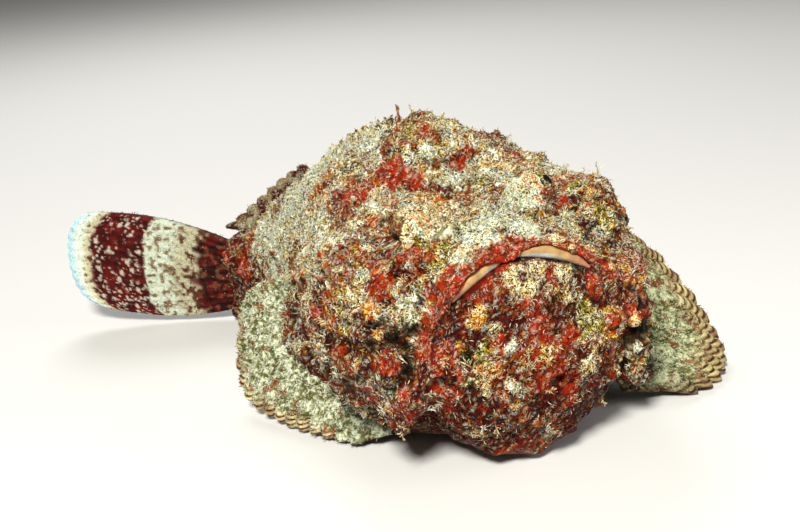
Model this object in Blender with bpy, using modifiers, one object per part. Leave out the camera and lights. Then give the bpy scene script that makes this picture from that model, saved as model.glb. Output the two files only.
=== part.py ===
"""A life-size stonefish at rest on its belly, with its tail curled round to its right.

Metres, +Z up. The head looks along -Y, the fish's right side is -X, and the floor is z = 0.
It is modelled with x = 0 in the middle plane of the head, then moved so that the origin is
on the floor under the centre of the whole fish.
"""

import math

import bmesh
import bpy
import numpy as np
from mathutils import Matrix, Vector

# Driving dimensions of the whole fish
LIP_Y = -0.103                  # front of the upper lip
TRUNK_START_Y = -0.014          # behind this the spine bends to the fish's right
TRUNK_LENGTH = 0.120            # along the spine, from there to the root of the tail fin
TAIL_BEND = math.radians(66.0)  # heading of the tail fin, from +Y towards -X
BEND_POWER = 1.3                # how late along the trunk the bend comes
HEAD_LENGTH = TRUNK_START_Y - LIP_Y
STANDARD_LENGTH = HEAD_LENGTH + TRUNK_LENGTH
FLOOR_SINK = 0.0015             # how far the belly is pressed flat
GAP = 0.00035                   # between nodes that touch

# Mouth: an upright arch, open upwards in life, that the lower jaw fills
MOUTH_RADIUS = 0.0362
MOUTH_CENTRE = Vector((0.0, -0.1030, 0.0362))
CORNERS_FORWARD = 0.0048
LIP_THICK = 0.0030
LIP_DIP, LIP_DIP_TURN, LIP_DIP_WIDTH = 0.0011, math.radians(99), math.radians(10)
LINING_TURNS = {"right": (102, 140), "left": (94, 44)}
JAW_CENTRE = Vector((0.0, -0.0940, 0.0348))
JAW_RADII = Vector((0.0352, 0.0215, 0.0333))
JAW_FULLNESS = 2.8

# Eyes: raised turrets, each with a ball that looks its own way through a small opening
EYE_X, EYE_Y, EYE_Z = 0.0195, -0.0690, 0.0755
LEFT_EYE_HIGHER = 0.0030
TURRET_RADIUS = 0.0091
EYEBALL_RADIUS = 0.0062
EYEBALL_OUT = 0.0036
GAZE = {-1: Vector((-0.96, -0.16, -0.10)).normalized(), 1: Vector((0.84, -0.24, 0.42)).normalized()}
LID_RADIUS, LID_THICK, LID_OUT = 0.0044, 0.0013, 0.0046

# Surface detail
VOXEL = 0.0019
BODY_TRIANGLES = 6200
JAW_TRIANGLES = 1150
DORSAL_TRIANGLES = 1100
SEED = 7

SKIN = ("skin", (0.56, 0.36, 0.28), 0.75)
FIN_SKIN = ("fin_skin", (0.68, 0.56, 0.45), 0.70)
MOUTH_LINING = ("mouth_lining", (0.78, 0.55, 0.33), 0.40)
EYE = ("eye", (0.10, 0.07, 0.05), 0.12)


def clear_scene():
    for obj in list(bpy.data.objects):
        bpy.data.objects.remove(obj, do_unlink=True)


def new_collection(name):
    collection = bpy.data.collections.new(name)
    bpy.context.scene.collection.children.link(collection)
    return collection


def material(spec):
    name, colour, roughness = spec
    found = bpy.data.materials.get(name)
    if found:
        return found
    made = bpy.data.materials.new(name)
    made.use_nodes = True
    shader = made.node_tree.nodes["Principled BSDF"]
    shader.inputs["Base Color"].default_value = (*colour, 1.0)
    shader.inputs["Roughness"].default_value = roughness
    shader.inputs["Metallic"].default_value = 0.0
    return made


def points_of(mesh):
    co = np.empty(len(mesh.vertices) * 3)
    mesh.vertices.foreach_get("co", co)
    return co.reshape(-1, 3)


def set_points(mesh, co):
    mesh.vertices.foreach_set("co", co.ravel())
    mesh.update()


def normals_of(mesh):
    no = np.empty(len(mesh.vertices) * 3)
    mesh.vertex_normals.foreach_get("vector", no)
    return no.reshape(-1, 3)


def link(name, mesh, collection):
    obj = bpy.data.objects.new(name, mesh)
    collection.objects.link(obj)
    return obj


def evaluated_mesh(obj):
    """The object's mesh with its modifiers, as the viewport shows it."""
    bpy.context.view_layer.update()
    graph = bpy.context.evaluated_depsgraph_get()
    return bpy.data.meshes.new_from_object(obj.evaluated_get(graph))


def apply_modifiers(obj):
    mesh = evaluated_mesh(obj)
    obj.modifiers.clear()
    obj.data = mesh
    return obj


def largest_shell(mesh):
    """Keeps the closed surface with the most faces, and drops loose scraps."""
    count = len(mesh.vertices)
    label = np.arange(count)
    edges = np.empty(len(mesh.edges) * 2, np.int32)
    mesh.edges.foreach_get("vertices", edges)
    edges = edges.reshape(-1, 2)
    while True:
        low = np.minimum(label[edges[:, 0]], label[edges[:, 1]])
        before = label.copy()
        np.minimum.at(label, edges[:, 0], low)
        np.minimum.at(label, edges[:, 1], low)
        label = label[label]
        if (label == before).all():
            break
    names, sizes = np.unique(label, return_counts=True)
    if len(names) == 1:
        return mesh
    keep = names[sizes.argmax()]
    work = bmesh.new()
    work.from_mesh(mesh)
    work.verts.ensure_lookup_table()
    loose = [work.verts[i] for i in np.flatnonzero(label != keep)]
    bmesh.ops.delete(work, geom=loose, context="VERTS")
    work.to_mesh(mesh)
    work.free()
    return mesh


def boolean(obj, other, operation, solver="MANIFOLD"):
    modifier = obj.modifiers.new("boolean", "BOOLEAN")
    modifier.operation = operation
    modifier.solver = solver
    modifier.object = other
    apply_modifiers(obj)
    obj.data = largest_shell(obj.data)
    return obj


def join_all(obj, pieces):
    """Unites closed pieces with obj through one Boolean on a collection."""
    group = new_collection("pieces")
    for piece in pieces:
        group.objects.link(piece)
    modifier = obj.modifiers.new("union", "BOOLEAN")
    modifier.operation = "UNION"
    modifier.operand_type = "COLLECTION"
    modifier.solver = "EXACT"
    modifier.collection = group
    apply_modifiers(obj)
    obj.data = largest_shell(obj.data)
    for piece in pieces:
        bpy.data.objects.remove(piece)
    bpy.data.collections.remove(group)
    return obj


def swollen(obj, by, cutters):
    """A cutter in the shape of obj, grown outwards by a small distance."""
    mesh = obj.data.copy()
    set_points(mesh, points_of(mesh) + normals_of(mesh) * by)
    cutter = link(obj.name + "_clearance", mesh, cutters)
    cutter.hide_render = True
    cutter.display_type = "WIRE"
    return cutter


def cut_clear(obj, others, cutters, by=GAP):
    for other in others:
        boolean(obj, swollen(other, by, cutters), "DIFFERENCE")
    return obj


def spine_at(distance):
    """Where the spine runs at a distance behind the lip: (x, y, heading from +Y towards -X)."""
    if distance <= HEAD_LENGTH:
        return 0.0, LIP_Y + distance, 0.0
    steps = np.linspace(0.0, distance - HEAD_LENGTH, 60)
    angle = TAIL_BEND * (steps / TRUNK_LENGTH) ** BEND_POWER
    x = -np.trapz(np.sin(angle), steps)
    y = TRUNK_START_Y + np.trapz(np.cos(angle), steps)
    return float(x), float(y), float(angle[-1])


def body_frame(distance, side, height):
    """World point at a distance along the spine, to the fish's left by side, at a height."""
    x, y, heading = spine_at(distance)
    return Vector((x + side * math.cos(heading), y + side * math.sin(heading), height))


# Body sections: distance behind the lip, half width, top, bottom, height of the widest line
SECTIONS = (
    (0.000, 0.0340, 0.0715, 0.0300, 0.046),
    (0.008, 0.0440, 0.0745, 0.0150, 0.043),
    (0.018, 0.0520, 0.0755, 0.0040, 0.041),
    (0.034, 0.0570, 0.0790, -0.0010, 0.040),
    (0.055, 0.0580, 0.0880, -0.0020, 0.041),
    (0.073, 0.0550, 0.0950, -0.0020, 0.041),
    (0.095, 0.0510, 0.0950, -0.0020, 0.040),
    (0.120, 0.0440, 0.0880, -0.0018, 0.037),
    (0.148, 0.0345, 0.0750, -0.0012, 0.033),
    (0.172, 0.0240, 0.0590, -0.0010, 0.028),
    (0.192, 0.0150, 0.0450, -0.0008, 0.022),
    (0.207, 0.0095, 0.0370, 0.0010, 0.019),
)
TOP_FULLNESS, BELLY_FULLNESS = 2.25, 2.45


def section_at(distance):
    table = np.array(SECTIONS)
    return [float(np.interp(distance, table[:, 0], table[:, k])) for k in range(1, 5)]


def smooth_section_at(distance):
    """The section, eased between the stations."""
    reach = 0.007
    near = [section_at(distance + offset) for offset in np.linspace(-reach, reach, 7)]
    return np.mean(near, axis=0)


def section_point(distance, turn):
    half_width, top, bottom, middle = smooth_section_at(distance)
    c, s = math.cos(turn), math.sin(turn)
    power = 2.0 / (TOP_FULLNESS if s > 0 else BELLY_FULLNESS)
    side = half_width * math.copysign(abs(c) ** power, c)
    rise = (top - middle) if s > 0 else (middle - bottom)
    return body_frame(distance, side, middle + rise * math.copysign(abs(s) ** power, s))


def make_trunk_loft(collection):
    """The body as a loft of unlike sections along the bent spine."""
    rings, around = 64, 48
    end = SECTIONS[-1][0]
    rows = [
        [section_point(end * i / (rings - 1), 2 * math.pi * j / around) for j in range(around)]
        for i in range(rings)
    ]
    points = [p for row in rows for p in row]
    faces = []
    for i in range(rings - 1):
        for j in range(around):
            k = (j + 1) % around
            faces.append((i * around + j, i * around + k, (i + 1) * around + k, (i + 1) * around + j))
    faces.append(tuple(range(around - 1, -1, -1)))
    faces.append(tuple((rings - 1) * around + j for j in range(around)))
    mesh = bpy.data.meshes.new("trunk")
    mesh.from_pydata([tuple(p) for p in points], [], faces)
    return link("trunk", mesh, collection)


def ellipsoid(name, centre, radii, collection, segments=32, rings=20, turn=0.0):
    bpy.ops.mesh.primitive_uv_sphere_add(segments=segments, ring_count=rings, radius=1.0)
    made = bpy.context.object
    made.name = name
    shape = Matrix.Translation(centre) @ Matrix.Rotation(turn, 4, "Z") @ Matrix.Diagonal((*radii, 1.0))
    made.data.transform(shape)
    for owner in list(made.users_collection):
        owner.objects.unlink(made)
    collection.objects.link(made)
    return made


def plug(name, centre, radii, fullness, collection):
    """An ellipsoid with a flatter front and fuller rim."""
    made = ellipsoid(name, (0, 0, 0), (1, 1, 1), collection, 40, 28)
    for vertex in made.data.vertices:
        x, y, z = vertex.co
        around = math.hypot(x, z)
        reach = (around**fullness + abs(y) ** fullness) ** (1.0 / fullness)
        vertex.co = centre + Vector((x * radii.x, y * radii.y, z * radii.z)) / reach
    return made


def arch_point(turn, radius=MOUTH_RADIUS, centre=MOUTH_CENTRE, back=0.0):
    """A point of the mouth's arch: 0 is the fish's left corner, 90 degrees the middle of the lip."""
    radius -= LIP_DIP * math.exp(-(((turn - LIP_DIP_TURN) / LIP_DIP_WIDTH) ** 2))
    swept = back - CORNERS_FORWARD * math.cos(turn) ** 2
    return centre + Vector((radius * math.cos(turn), swept, radius * math.sin(turn)))


def tube(name, points, radii, collection, sides=2):
    """A closed mesh along points, with a radius at each."""
    curve = bpy.data.curves.new(name, "CURVE")
    curve.dimensions = "3D"
    curve.bevel_depth = 1.0
    curve.bevel_resolution = sides
    curve.use_fill_caps = True
    spline = curve.splines.new("POLY")
    spline.points.add(len(points) - 1)
    for place, point, radius in zip(spline.points, points, radii):
        place.co = (*point, 1.0)
        place.radius = radius
    guide = link(name + "_guide", curve, collection)
    mesh = evaluated_mesh(guide)
    bpy.data.objects.remove(guide)
    made = link(name, mesh, collection)
    weld = made.modifiers.new("weld", "WELD")
    weld.merge_threshold = 0.00002
    return apply_modifiers(made)


def remeshed(name, pieces, voxel, smooth_steps, collection):
    """One smooth closed surface round all the pieces."""
    bpy.ops.object.select_all(action="DESELECT")
    for piece in pieces:
        piece.select_set(True)
    bpy.context.view_layer.objects.active = pieces[0]
    bpy.ops.object.join()
    whole = pieces[0]
    whole.name = name
    remesh = whole.modifiers.new("remesh", "REMESH")
    remesh.mode = "VOXEL"
    remesh.voxel_size = voxel
    smooth = whole.modifiers.new("smooth", "SMOOTH")
    smooth.factor = 0.5
    smooth.iterations = smooth_steps
    apply_modifiers(whole)
    whole.data = largest_shell(whole.data)
    return whole


def swell(co, no, centre, radius, height):
    """Raises (or, below 0, sinks) a round place along the surface's own normals."""
    away = np.linalg.norm(co - np.array(centre), axis=1) / radius
    return co + no * (height * np.exp(-(away**2)))[:, None]


def swell_along(co, no, path, radius, height):
    """Raises a ridge, or sinks a furrow, along a path of points."""
    nearest = np.full(len(co), 1e9)
    for start, end in zip(path[:-1], path[1:]):
        a, b = np.array(start), np.array(end)
        share = np.clip(((co - a) @ (b - a)) / ((b - a) @ (b - a)), 0.0, 1.0)
        nearest = np.minimum(nearest, np.linalg.norm(co - (a + share[:, None] * (b - a)), axis=1))
    return co + no * (height * np.exp(-((nearest / radius) ** 2)))[:, None]


# Lumps and hollows of the head, on both sides: place (x outwards), radius, height
HEAD_FORMS = (
    ((0.0390, -0.084, 0.0600), 0.0085, -0.0055),   # pit under the eye
    ((0.0540, -0.056, 0.0330), 0.0090, -0.0040),   # pit behind the cheek
    ((0.0470, -0.078, 0.0330), 0.0070, -0.0030),   # hollow beside the jaw
    ((0.0120, -0.050, 0.0870), 0.0080, -0.0045),   # hollow behind the eye
    ((0.0330, -0.064, 0.0750), 0.0070, -0.0042),   # hollow outside the eye
    ((0.0470, -0.066, 0.0600), 0.0090, 0.0040),    # cheek ridge
    ((0.0560, -0.060, 0.0480), 0.0070, 0.0030),
    ((0.0520, -0.040, 0.0620), 0.0085, 0.0035),    # gill cover lump
    ((0.0400, -0.042, 0.0800), 0.0090, 0.0040),    # shoulder lump
    ((0.0200, -0.046, 0.0930), 0.0070, 0.0030),    # nape lump
    ((0.0470, -0.090, 0.0500), 0.0070, 0.0030),
    ((0.0530, -0.030, 0.0400), 0.0080, 0.0030),
    ((0.0340, -0.024, 0.0900), 0.0085, 0.0030),
)
MIDDLE_FORMS = (
    ((0.0, -0.066, 0.0790), 0.0095, -0.0060),      # pit between the eyes
    ((0.0, -0.090, 0.0760), 0.0100, 0.0035),       # snout
    ((0.0, -0.030, 0.0990), 0.0120, 0.0040),       # hump
    ((0.0, -0.050, 0.0900), 0.0080, -0.0030),      # saddle before the hump
)


def sculpt_head(mesh):
    co, no = points_of(mesh), normals_of(mesh)
    for (x, y, z), radius, height in HEAD_FORMS:
        for side in (-1, 1):
            co = swell(co, no, (side * x, y, z), radius, height)
    for centre, radius, height in MIDDLE_FORMS:
        co = swell(co, no, centre, radius, height)
    for side in (-1, 1):
        brow = [(side * 0.013, -0.080, 0.080), (side * 0.024, -0.058, 0.083), (side * 0.036, -0.050, 0.080)]
        co = swell_along(co, no, brow, 0.0040, 0.0010)
        gill = [(side * 0.050, -0.022, 0.070), (side * 0.056, -0.018, 0.050), (side * 0.054, -0.026, 0.026),
                (side * 0.044, -0.040, 0.010)]
        co = swell_along(co, no, gill, 0.0035, -0.0026)
    set_points(mesh, co)


def scatter_warts(mesh, count, radius, height, seed, keep):
    """Sets rounded warts of varied size on the surface, where keep allows."""
    rng = np.random.default_rng(seed)
    co, no = points_of(mesh), normals_of(mesh)
    free = np.flatnonzero(keep(co))
    chosen = []
    for index in rng.permutation(free):
        if len(chosen) == count:
            break
        if all(np.linalg.norm(co[index] - co[other]) > 2.1 * radius for other in chosen):
            chosen.append(index)
    moved = co.copy()
    for index in chosen:
        size = radius * rng.uniform(0.7, 1.25)
        moved = swell(moved, no, co[index], size, height * rng.uniform(0.6, 1.2))
    set_points(mesh, moved)


def set_on_floor(mesh, level=0.0):
    """Presses flat whatever reaches below the floor."""
    co = points_of(mesh)
    co[:, 2] = np.maximum(co[:, 2], level)
    set_points(mesh, co)


def decimated(obj, triangles):
    modifier = obj.modifiers.new("decimate", "DECIMATE")
    modifier.decimate_type = "COLLAPSE"
    faces = sum(len(p.vertices) - 2 for p in obj.data.polygons)
    modifier.ratio = min(1.0, triangles / faces)
    modifier.use_collapse_triangulate = True
    return apply_modifiers(obj)


def turret_place(side):
    """The middle of an eye's turret; the left one is set higher."""
    return Vector((side * EYE_X, EYE_Y, EYE_Z + (LEFT_EYE_HIGHER if side > 0 else 0.0)))


def make_body(collection):
    """Head, trunk and tail stalk in one piece, before it is parted."""
    pieces = [make_trunk_loft(collection)]
    for side in (-1, 1):
        pieces.append(ellipsoid("cheek", (side * 0.041, -0.070, 0.042), (0.019, 0.028, 0.026), collection))
        pieces.append(ellipsoid("turret", turret_place(side), (TURRET_RADIUS,) * 3, collection))
        pieces.append(ellipsoid("maxilla", (side * 0.0410, -0.0960, 0.0360), (0.009, 0.0130, 0.021), collection))
        pieces.append(ellipsoid("fin_base", (side * 0.042, -0.024, 0.026), (0.017, 0.028, 0.019), collection))
    pieces.append(ellipsoid("temple_left", (0.041, -0.060, 0.062), (0.0185, 0.026, 0.0195), collection))
    pieces.append(ellipsoid("temple_right", (-0.038, -0.058, 0.060), (0.0170, 0.024, 0.0180), collection))
    pieces.append(ellipsoid("snout", (0, -0.088, 0.066), (0.024, 0.015, 0.012), collection))
    pieces.append(ellipsoid("hump", (0, -0.026, 0.0788), (0.027, 0.030, 0.0205), collection))
    turns = np.radians(np.linspace(-14, 194, 37))
    lip = [arch_point(t, MOUTH_RADIUS + 0.6 * LIP_THICK) for t in turns]
    pieces.append(tube("upper_lip", lip, [LIP_THICK] * len(lip), collection))
    body = remeshed("body", pieces, VOXEL, 4, collection)
    sculpt_head(body.data)
    scatter_warts(body.data, 140, 0.0046, 0.0022, SEED, lambda co: co[:, 2] > 0.010)
    set_on_floor(body.data)
    return decimated(body, BODY_TRIANGLES)


def make_jaw(collection):
    """The lower jaw, a rounded plug that closes the mouth's arch."""
    pieces = [plug("jaw", JAW_CENTRE, JAW_RADII, JAW_FULLNESS, collection)]
    pieces.append(ellipsoid("chin", JAW_CENTRE + Vector((0, 0.006, -0.014)), (0.032, 0.020, 0.020), collection))
    turns = np.radians(np.linspace(5, 175, 31))
    rim_radius = MOUTH_RADIUS - 0.0042
    rim = [arch_point(t, rim_radius, back=-0.0005) for t in turns]
    pieces.append(tube("lower_lip", rim, [0.0026] * len(rim), collection))
    jaw = remeshed("lower_jaw", pieces, VOXEL, 4, collection)
    co, no = points_of(jaw.data), normals_of(jaw.data)
    co = swell(co, no, (0.0, -0.112, 0.060), 0.010, 0.0030)
    for side in (-1, 1):
        co = swell(co, no, (side * 0.016, -0.113, 0.040), 0.008, 0.0020)
        co = swell(co, no, (side * 0.010, -0.113, 0.024), 0.008, 0.0022)
    set_points(jaw.data, co)
    scatter_warts(jaw.data, 34, 0.0040, 0.0018, SEED + 1, lambda co: co[:, 1] < -0.100)
    set_on_floor(jaw.data, 0.0015)
    return decimated(jaw, JAW_TRIANGLES)


def membrane_arc(word):
    """The smooth lining that shows between the lips, one crescent on each side of the middle."""
    turns = np.radians(np.linspace(*LINING_TURNS[word], 15))
    share = np.linspace(0, 1, len(turns))
    radii = 0.0020 * np.sin(math.pi * np.clip(share * 0.86 + 0.10, 0, 1)) + 0.0003
    points = [arch_point(t, MOUTH_RADIUS - 0.0010, back=0.0010) for t in turns]
    return points, radii


def make_linings(collection):
    return [tube("mouth_lining_" + word, *membrane_arc(word), collection) for word in LINING_TURNS]


def eye_centre(side):
    return turret_place(side) + GAZE[side] * EYEBALL_OUT, GAZE[side]


def make_eye(word, side, collection):
    centre, _ = eye_centre(side)
    return ellipsoid("eye_" + word, centre, (EYEBALL_RADIUS,) * 3, collection, 16, 10)


def lid_ring(side, collection):
    """The raised lid round the eyeball's opening."""
    centre, out = eye_centre(side)
    bpy.ops.mesh.primitive_torus_add(
        major_segments=20, minor_segments=6, major_radius=LID_RADIUS, minor_radius=LID_THICK
    )
    ring = bpy.context.object
    ring.data.transform(
        Matrix.Translation(centre + out * LID_OUT) @ out.to_track_quat("Z", "Y").to_matrix().to_4x4()
    )
    for owner in list(ring.users_collection):
        owner.objects.unlink(ring)
    collection.objects.link(ring)
    return ring


def nostril(side, collection):
    """A short open tube in front of the eye, turned from a profile."""
    profile = [(0.0, -0.0035), (0.0028, -0.0035), (0.0021, 0.0010), (0.0015, 0.0015), (0.0010, 0.0010), (0.0, -0.0002)]
    mesh = bpy.data.meshes.new("nostril")
    mesh.from_pydata([(x, 0, z) for x, z in reversed(profile)], [(i, i + 1) for i in range(len(profile) - 1)], [])
    made = link("nostril", mesh, collection)
    screw = made.modifiers.new("screw", "SCREW")
    screw.steps = screw.render_steps = 10
    screw.use_merge_vertices = True
    screw.merge_threshold = 0.00005
    screw.use_normal_calculate = True
    apply_modifiers(made)
    out = Vector((side * 0.35, -0.55, 0.76)).normalized()
    made.data.transform(
        Matrix.Translation((side * 0.0135, -0.0875, 0.0790)) @ out.to_track_quat("Z", "Y").to_matrix().to_4x4()
    )
    return made


def part_with_slab(whole, name, centre, heading, cutters, collection, keep_front):
    """One side of a thin upright cut across the spine."""
    bpy.ops.mesh.primitive_cube_add(size=1.0)
    block = bpy.context.object
    depth = 0.30
    offset = (depth - GAP) / 2 * (1 if keep_front else -1)
    block.data.transform(
        Matrix.Translation(centre)
        @ Matrix.Rotation(heading, 4, "Z")
        @ Matrix.Translation((0, offset, 0))
        @ Matrix.Diagonal((0.30, depth, 0.40, 1.0))
    )
    for owner in list(block.users_collection):
        owner.objects.unlink(block)
    cutters.objects.link(block)
    block.hide_render = True
    block.display_type = "WIRE"
    made = link(name, whole.data.copy(), collection)
    return boolean(made, block, "DIFFERENCE")


class Fin:
    """A fan of rays: a grid from a root line to a tip line, thickened, with each ray a ridge."""

    def __init__(self, name, root, tip, rays, bow=None, rows=7, thick=(0.0032, 0.0012), ridge=0.0008,
                 scallop=0.06, columns=3):
        self.name, self.root, self.tip, self.rays = name, root, tip, rays
        self.bow = bow or (lambda u: Vector((0, 0, 0)))
        self.rows, self.thick, self.ridge, self.scallop = rows, thick, ridge, scallop
        self.columns = rays * columns + 1

    def ray_share(self, u):
        """1 on a ray, 0 in the middle of the web between two."""
        return 0.5 + 0.5 * math.cos(2 * math.pi * (u * self.rays - 0.5))

    def point(self, u, v):
        root, tip = self.root(u), self.tip(u)
        reach = v * (1.0 - self.scallop * (1.0 - self.ray_share(u)) * v)
        return root.lerp(tip, reach) + self.bow(u) * (4.0 * v * (1.0 - v))

    def thickness(self, u, v):
        web = self.thick[0] + (self.thick[1] - self.thick[0]) * v
        return web + 2.0 * self.ridge * self.ray_share(u) * (1.0 - 0.35 * v)

    def build(self, collection):
        bpy.ops.mesh.primitive_grid_add(x_subdivisions=self.columns - 1, y_subdivisions=self.rows - 1, size=2.0)
        fin = bpy.context.object
        fin.name = self.name
        places = [((v.co.x + 1) / 2, (v.co.y + 1) / 2) for v in fin.data.vertices]
        for vertex, (u, v) in zip(fin.data.vertices, places):
            vertex.co = self.point(u, v)
        widths = [self.thickness(u, v) for u, v in places]
        widest = max(widths)
        group = fin.vertex_groups.new(name="thickness")
        for index, width in enumerate(widths):
            group.add([index], width / widest, "REPLACE")
        for owner in list(fin.users_collection):
            owner.objects.unlink(fin)
        collection.objects.link(fin)
        split = fin.modifiers.new("triangulate", "TRIANGULATE")
        split.quad_method = "FIXED"
        solid = fin.modifiers.new("solidify", "SOLIDIFY")
        solid.thickness = widest
        solid.offset = 0.0
        solid.vertex_group = "thickness"
        solid.thickness_vertex_group = 0.0
        solid.use_even_offset = False
        apply_modifiers(fin)
        fin.vertex_groups.clear()
        return fin


def through(points):
    """A smooth line through a few points, as a function of 0 to 1."""
    places = [Vector(p) for p in points]

    def line(u):
        x = u * (len(places) - 1)
        i = min(int(x), len(places) - 2)
        t = x - i
        before = places[i - 1] if i else 2 * places[0] - places[1]
        after = places[i + 2] if i + 2 < len(places) else 2 * places[-1] - places[-2]
        a, b = places[i], places[i + 1]
        return 0.5 * (
            2 * a + (b - before) * t + (2 * before - 5 * a + 4 * b - after) * t**2
            + (3 * a - before - 3 * b + after) * t**3
        )

    return line


def pectoral(word, side):
    """The broad breast fin, spread on the floor from behind the gills round to the chin."""
    if side < 0:
        root = [(-0.048, -0.008, 0.044), (-0.050, -0.022, 0.028), (-0.043, -0.046, 0.013), (-0.030, -0.070, 0.009)]
        tip = [(-0.066, 0.008, 0.028), (-0.073, -0.012, 0.007), (-0.066, -0.034, 0.0014), (-0.056, -0.054, 0.0014),
               (-0.044, -0.074, 0.0014)]
    else:
        root = [(0.046, -0.012, 0.048), (0.050, -0.026, 0.034), (0.043, -0.050, 0.015), (0.030, -0.070, 0.009)]
        tip = [(0.074, -0.018, 0.052), (0.091, -0.042, 0.031), (0.099, -0.064, 0.008), (0.087, -0.084, 0.0014),
               (0.062, -0.096, 0.0014)]
    return Fin(
        "pectoral_fin_" + word, through(root), through(tip), rays=15,
        bow=lambda u: Vector((side * 0.003, 0, 0.006)),
        rows=7, columns=2, thick=(0.0042, 0.0015), ridge=0.0011, scallop=0.12,
    )


def tail_fin():
    """The tail fin, an upright fan with a rounded edge."""
    base = SECTIONS[-1][0]
    start = base - 0.010
    x, y, heading = spine_at(base)
    forward = Vector((-math.sin(heading), math.cos(heading), 0.0))

    def root(u):
        return body_frame(start, 0.0, 0.0195 + (u - 0.5) * 0.024)

    def tip(u):
        spread = (u - 0.5) * 2.0
        reach = 0.070 * (1.0 - 0.17 * abs(spread) ** 2.4)
        height = 0.0310 + 0.0215 * math.sin(spread * 1.3) / math.sin(1.3)
        return Vector((x, y, 0.0)) + forward * reach + Vector((0, 0, height))

    def bow(u):
        return Vector((0, 0, 0.0050 * (u - 0.5) * 2.0))

    return Fin("tail_fin", root, tip, rays=12, bow=bow, rows=8, columns=2, thick=(0.0056, 0.0014), ridge=0.0008,
               scallop=0.05)


def top_at(distance, lift=0.0, side=0.0):
    """A point above the middle of the back."""
    return body_frame(distance, side, smooth_section_at(distance)[1] + lift)


def soft_dorsal_fin():
    """The soft hind part of the back fin, folded down to the fish's right."""
    start, end = 0.158, 0.192

    def root(u):
        return top_at(start + (end - start) * u, -0.006)

    def tip(u):
        reach = math.sin(math.pi * min(1.0, 0.35 + 0.65 * u))
        return top_at(start + 0.010 + (end + 0.006 - start) * u, 0.003 + 0.006 * reach, 0.004)

    return Fin("soft_dorsal_fin", root, tip, rays=8, rows=5, columns=2, thick=(0.0044, 0.0015), ridge=0.0006,
               scallop=0.12)


def make_spiny_dorsal(collection):
    """A row of thick-skinned spines joined by a low web."""
    count = 12
    start, end = 0.096, 0.156
    pieces = []
    for i in range(count):
        share = i / (count - 1)
        at = start + (end - start) * share
        tall = (0.0105 if i == 0 else 0.0080) - 0.0025 * share
        foot, head = top_at(at, -0.009), top_at(at + 0.004, tall)
        points = [foot.lerp(head, k / 5) for k in range(6)]
        pieces.append(tube("spine", points, [0.0034, 0.0034, 0.0032, 0.0028, 0.0022, 0.0012], collection))
    web = [top_at(start + (end - start) * k / 20, -0.0015) for k in range(21)]
    pieces.append(tube("web", web, [0.0026] * len(web), collection))
    row = remeshed("spiny_dorsal_fin", pieces, 0.0011, 2, collection)
    return decimated(row, DORSAL_TRIANGLES)


def anal_fin():
    """Under the tail stalk, laid out on the floor towards the outer side of the bend."""
    start, end = 0.148, 0.186

    def root(u):
        return body_frame(start + (end - start) * u, 0.004, 0.0065)

    def tip(u):
        distance = start + 0.012 + (end + 0.006 - start) * u
        return body_frame(distance, 0.036 - 0.012 * u, 0.0014)

    return Fin("anal_fin", root, tip, rays=7, bow=lambda u: Vector((0, 0, 0.0015)), rows=5, columns=2,
               thick=(0.0034, 0.0014), ridge=0.0006, scallop=0.12)


def pelvic(word, side):
    """A short fan flat on the floor, behind the breast fin."""
    root = [(side * 0.030, 0.000, 0.008), (side * 0.034, -0.014, 0.008)]
    tip = [(side * 0.050, 0.034, 0.0014), (side * 0.061, 0.012, 0.0014)]
    return Fin("pelvic_fin_" + word, through(root), through(tip), rays=6, bow=lambda u: Vector((0, 0, 0.001)),
               rows=5, columns=2, thick=(0.0032, 0.0014), ridge=0.0006, scallop=0.12)


def finish(obj, spec, smooth=True):
    obj.data.materials.clear()
    obj.data.materials.append(material(spec))
    if smooth:
        obj.data.shade_smooth()
    else:
        obj.data.shade_flat()


def centre_on_floor(nodes):
    """Moves the nodes so that the origin is under the centre of their common box."""
    points = np.concatenate([points_of(node.data) for node in nodes])
    low, high = points.min(axis=0), points.max(axis=0)
    middle = (low + high) / 2
    for node in nodes:
        node.data.transform(Matrix.Translation((-middle[0], -middle[1], -low[2])))


def main():
    clear_scene()
    parts = new_collection("stonefish")
    cutters = new_collection("cutters")

    body = make_body(parts)
    jaw = make_jaw(parts)
    linings = make_linings(parts)
    eyes = {word: make_eye(word, side, parts) for word, side in (("right", -1), ("left", 1))}
    for side in (-1, 1):
        join_all(body, [lid_ring(side, parts), nostril(side, parts)])
    cut_clear(body, [jaw, *linings, *eyes.values()], cutters)
    for lining in linings:
        cut_clear(lining, [jaw], cutters)

    gill_cut = 0.084
    tail_cut = 0.176
    x, y, heading = spine_at(tail_cut)
    tail = part_with_slab(body, "tail_stalk", Vector((x, y, 0)), heading, cutters, parts, keep_front=False)
    front = part_with_slab(body, "front", Vector((x, y, 0)), heading, cutters, parts, keep_front=True)
    at = Vector((0, LIP_Y + gill_cut, 0))
    head = part_with_slab(front, "head", at, 0.0, cutters, parts, keep_front=True)
    trunk = part_with_slab(front, "trunk", at, 0.0, cutters, parts, keep_front=False)
    for scrap in (body, front):
        bpy.data.objects.remove(scrap)

    flesh = [head, trunk, tail]
    fins = [make_spiny_dorsal(parts)]
    cut_clear(fins[0], flesh, cutters)
    plans = [
        pectoral("right", -1),
        pectoral("left", 1),
        pelvic("right", -1),
        pelvic("left", 1),
        soft_dorsal_fin(),
        anal_fin(),
        tail_fin(),
    ]
    for plan in plans:
        fin = plan.build(parts)
        set_on_floor(fin.data)
        cut_clear(fin, flesh + [jaw] + fins, cutters)
        fins.append(fin)

    for obj in flesh + [jaw]:
        finish(obj, SKIN)
    for obj in fins:
        finish(obj, FIN_SKIN)
    for obj in linings:
        finish(obj, MOUTH_LINING)
    for obj in eyes.values():
        finish(obj, EYE)
    for cutter in list(cutters.objects):
        bpy.data.objects.remove(cutter)
    bpy.data.collections.remove(cutters)
    centre_on_floor(parts.objects)


main()
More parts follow.
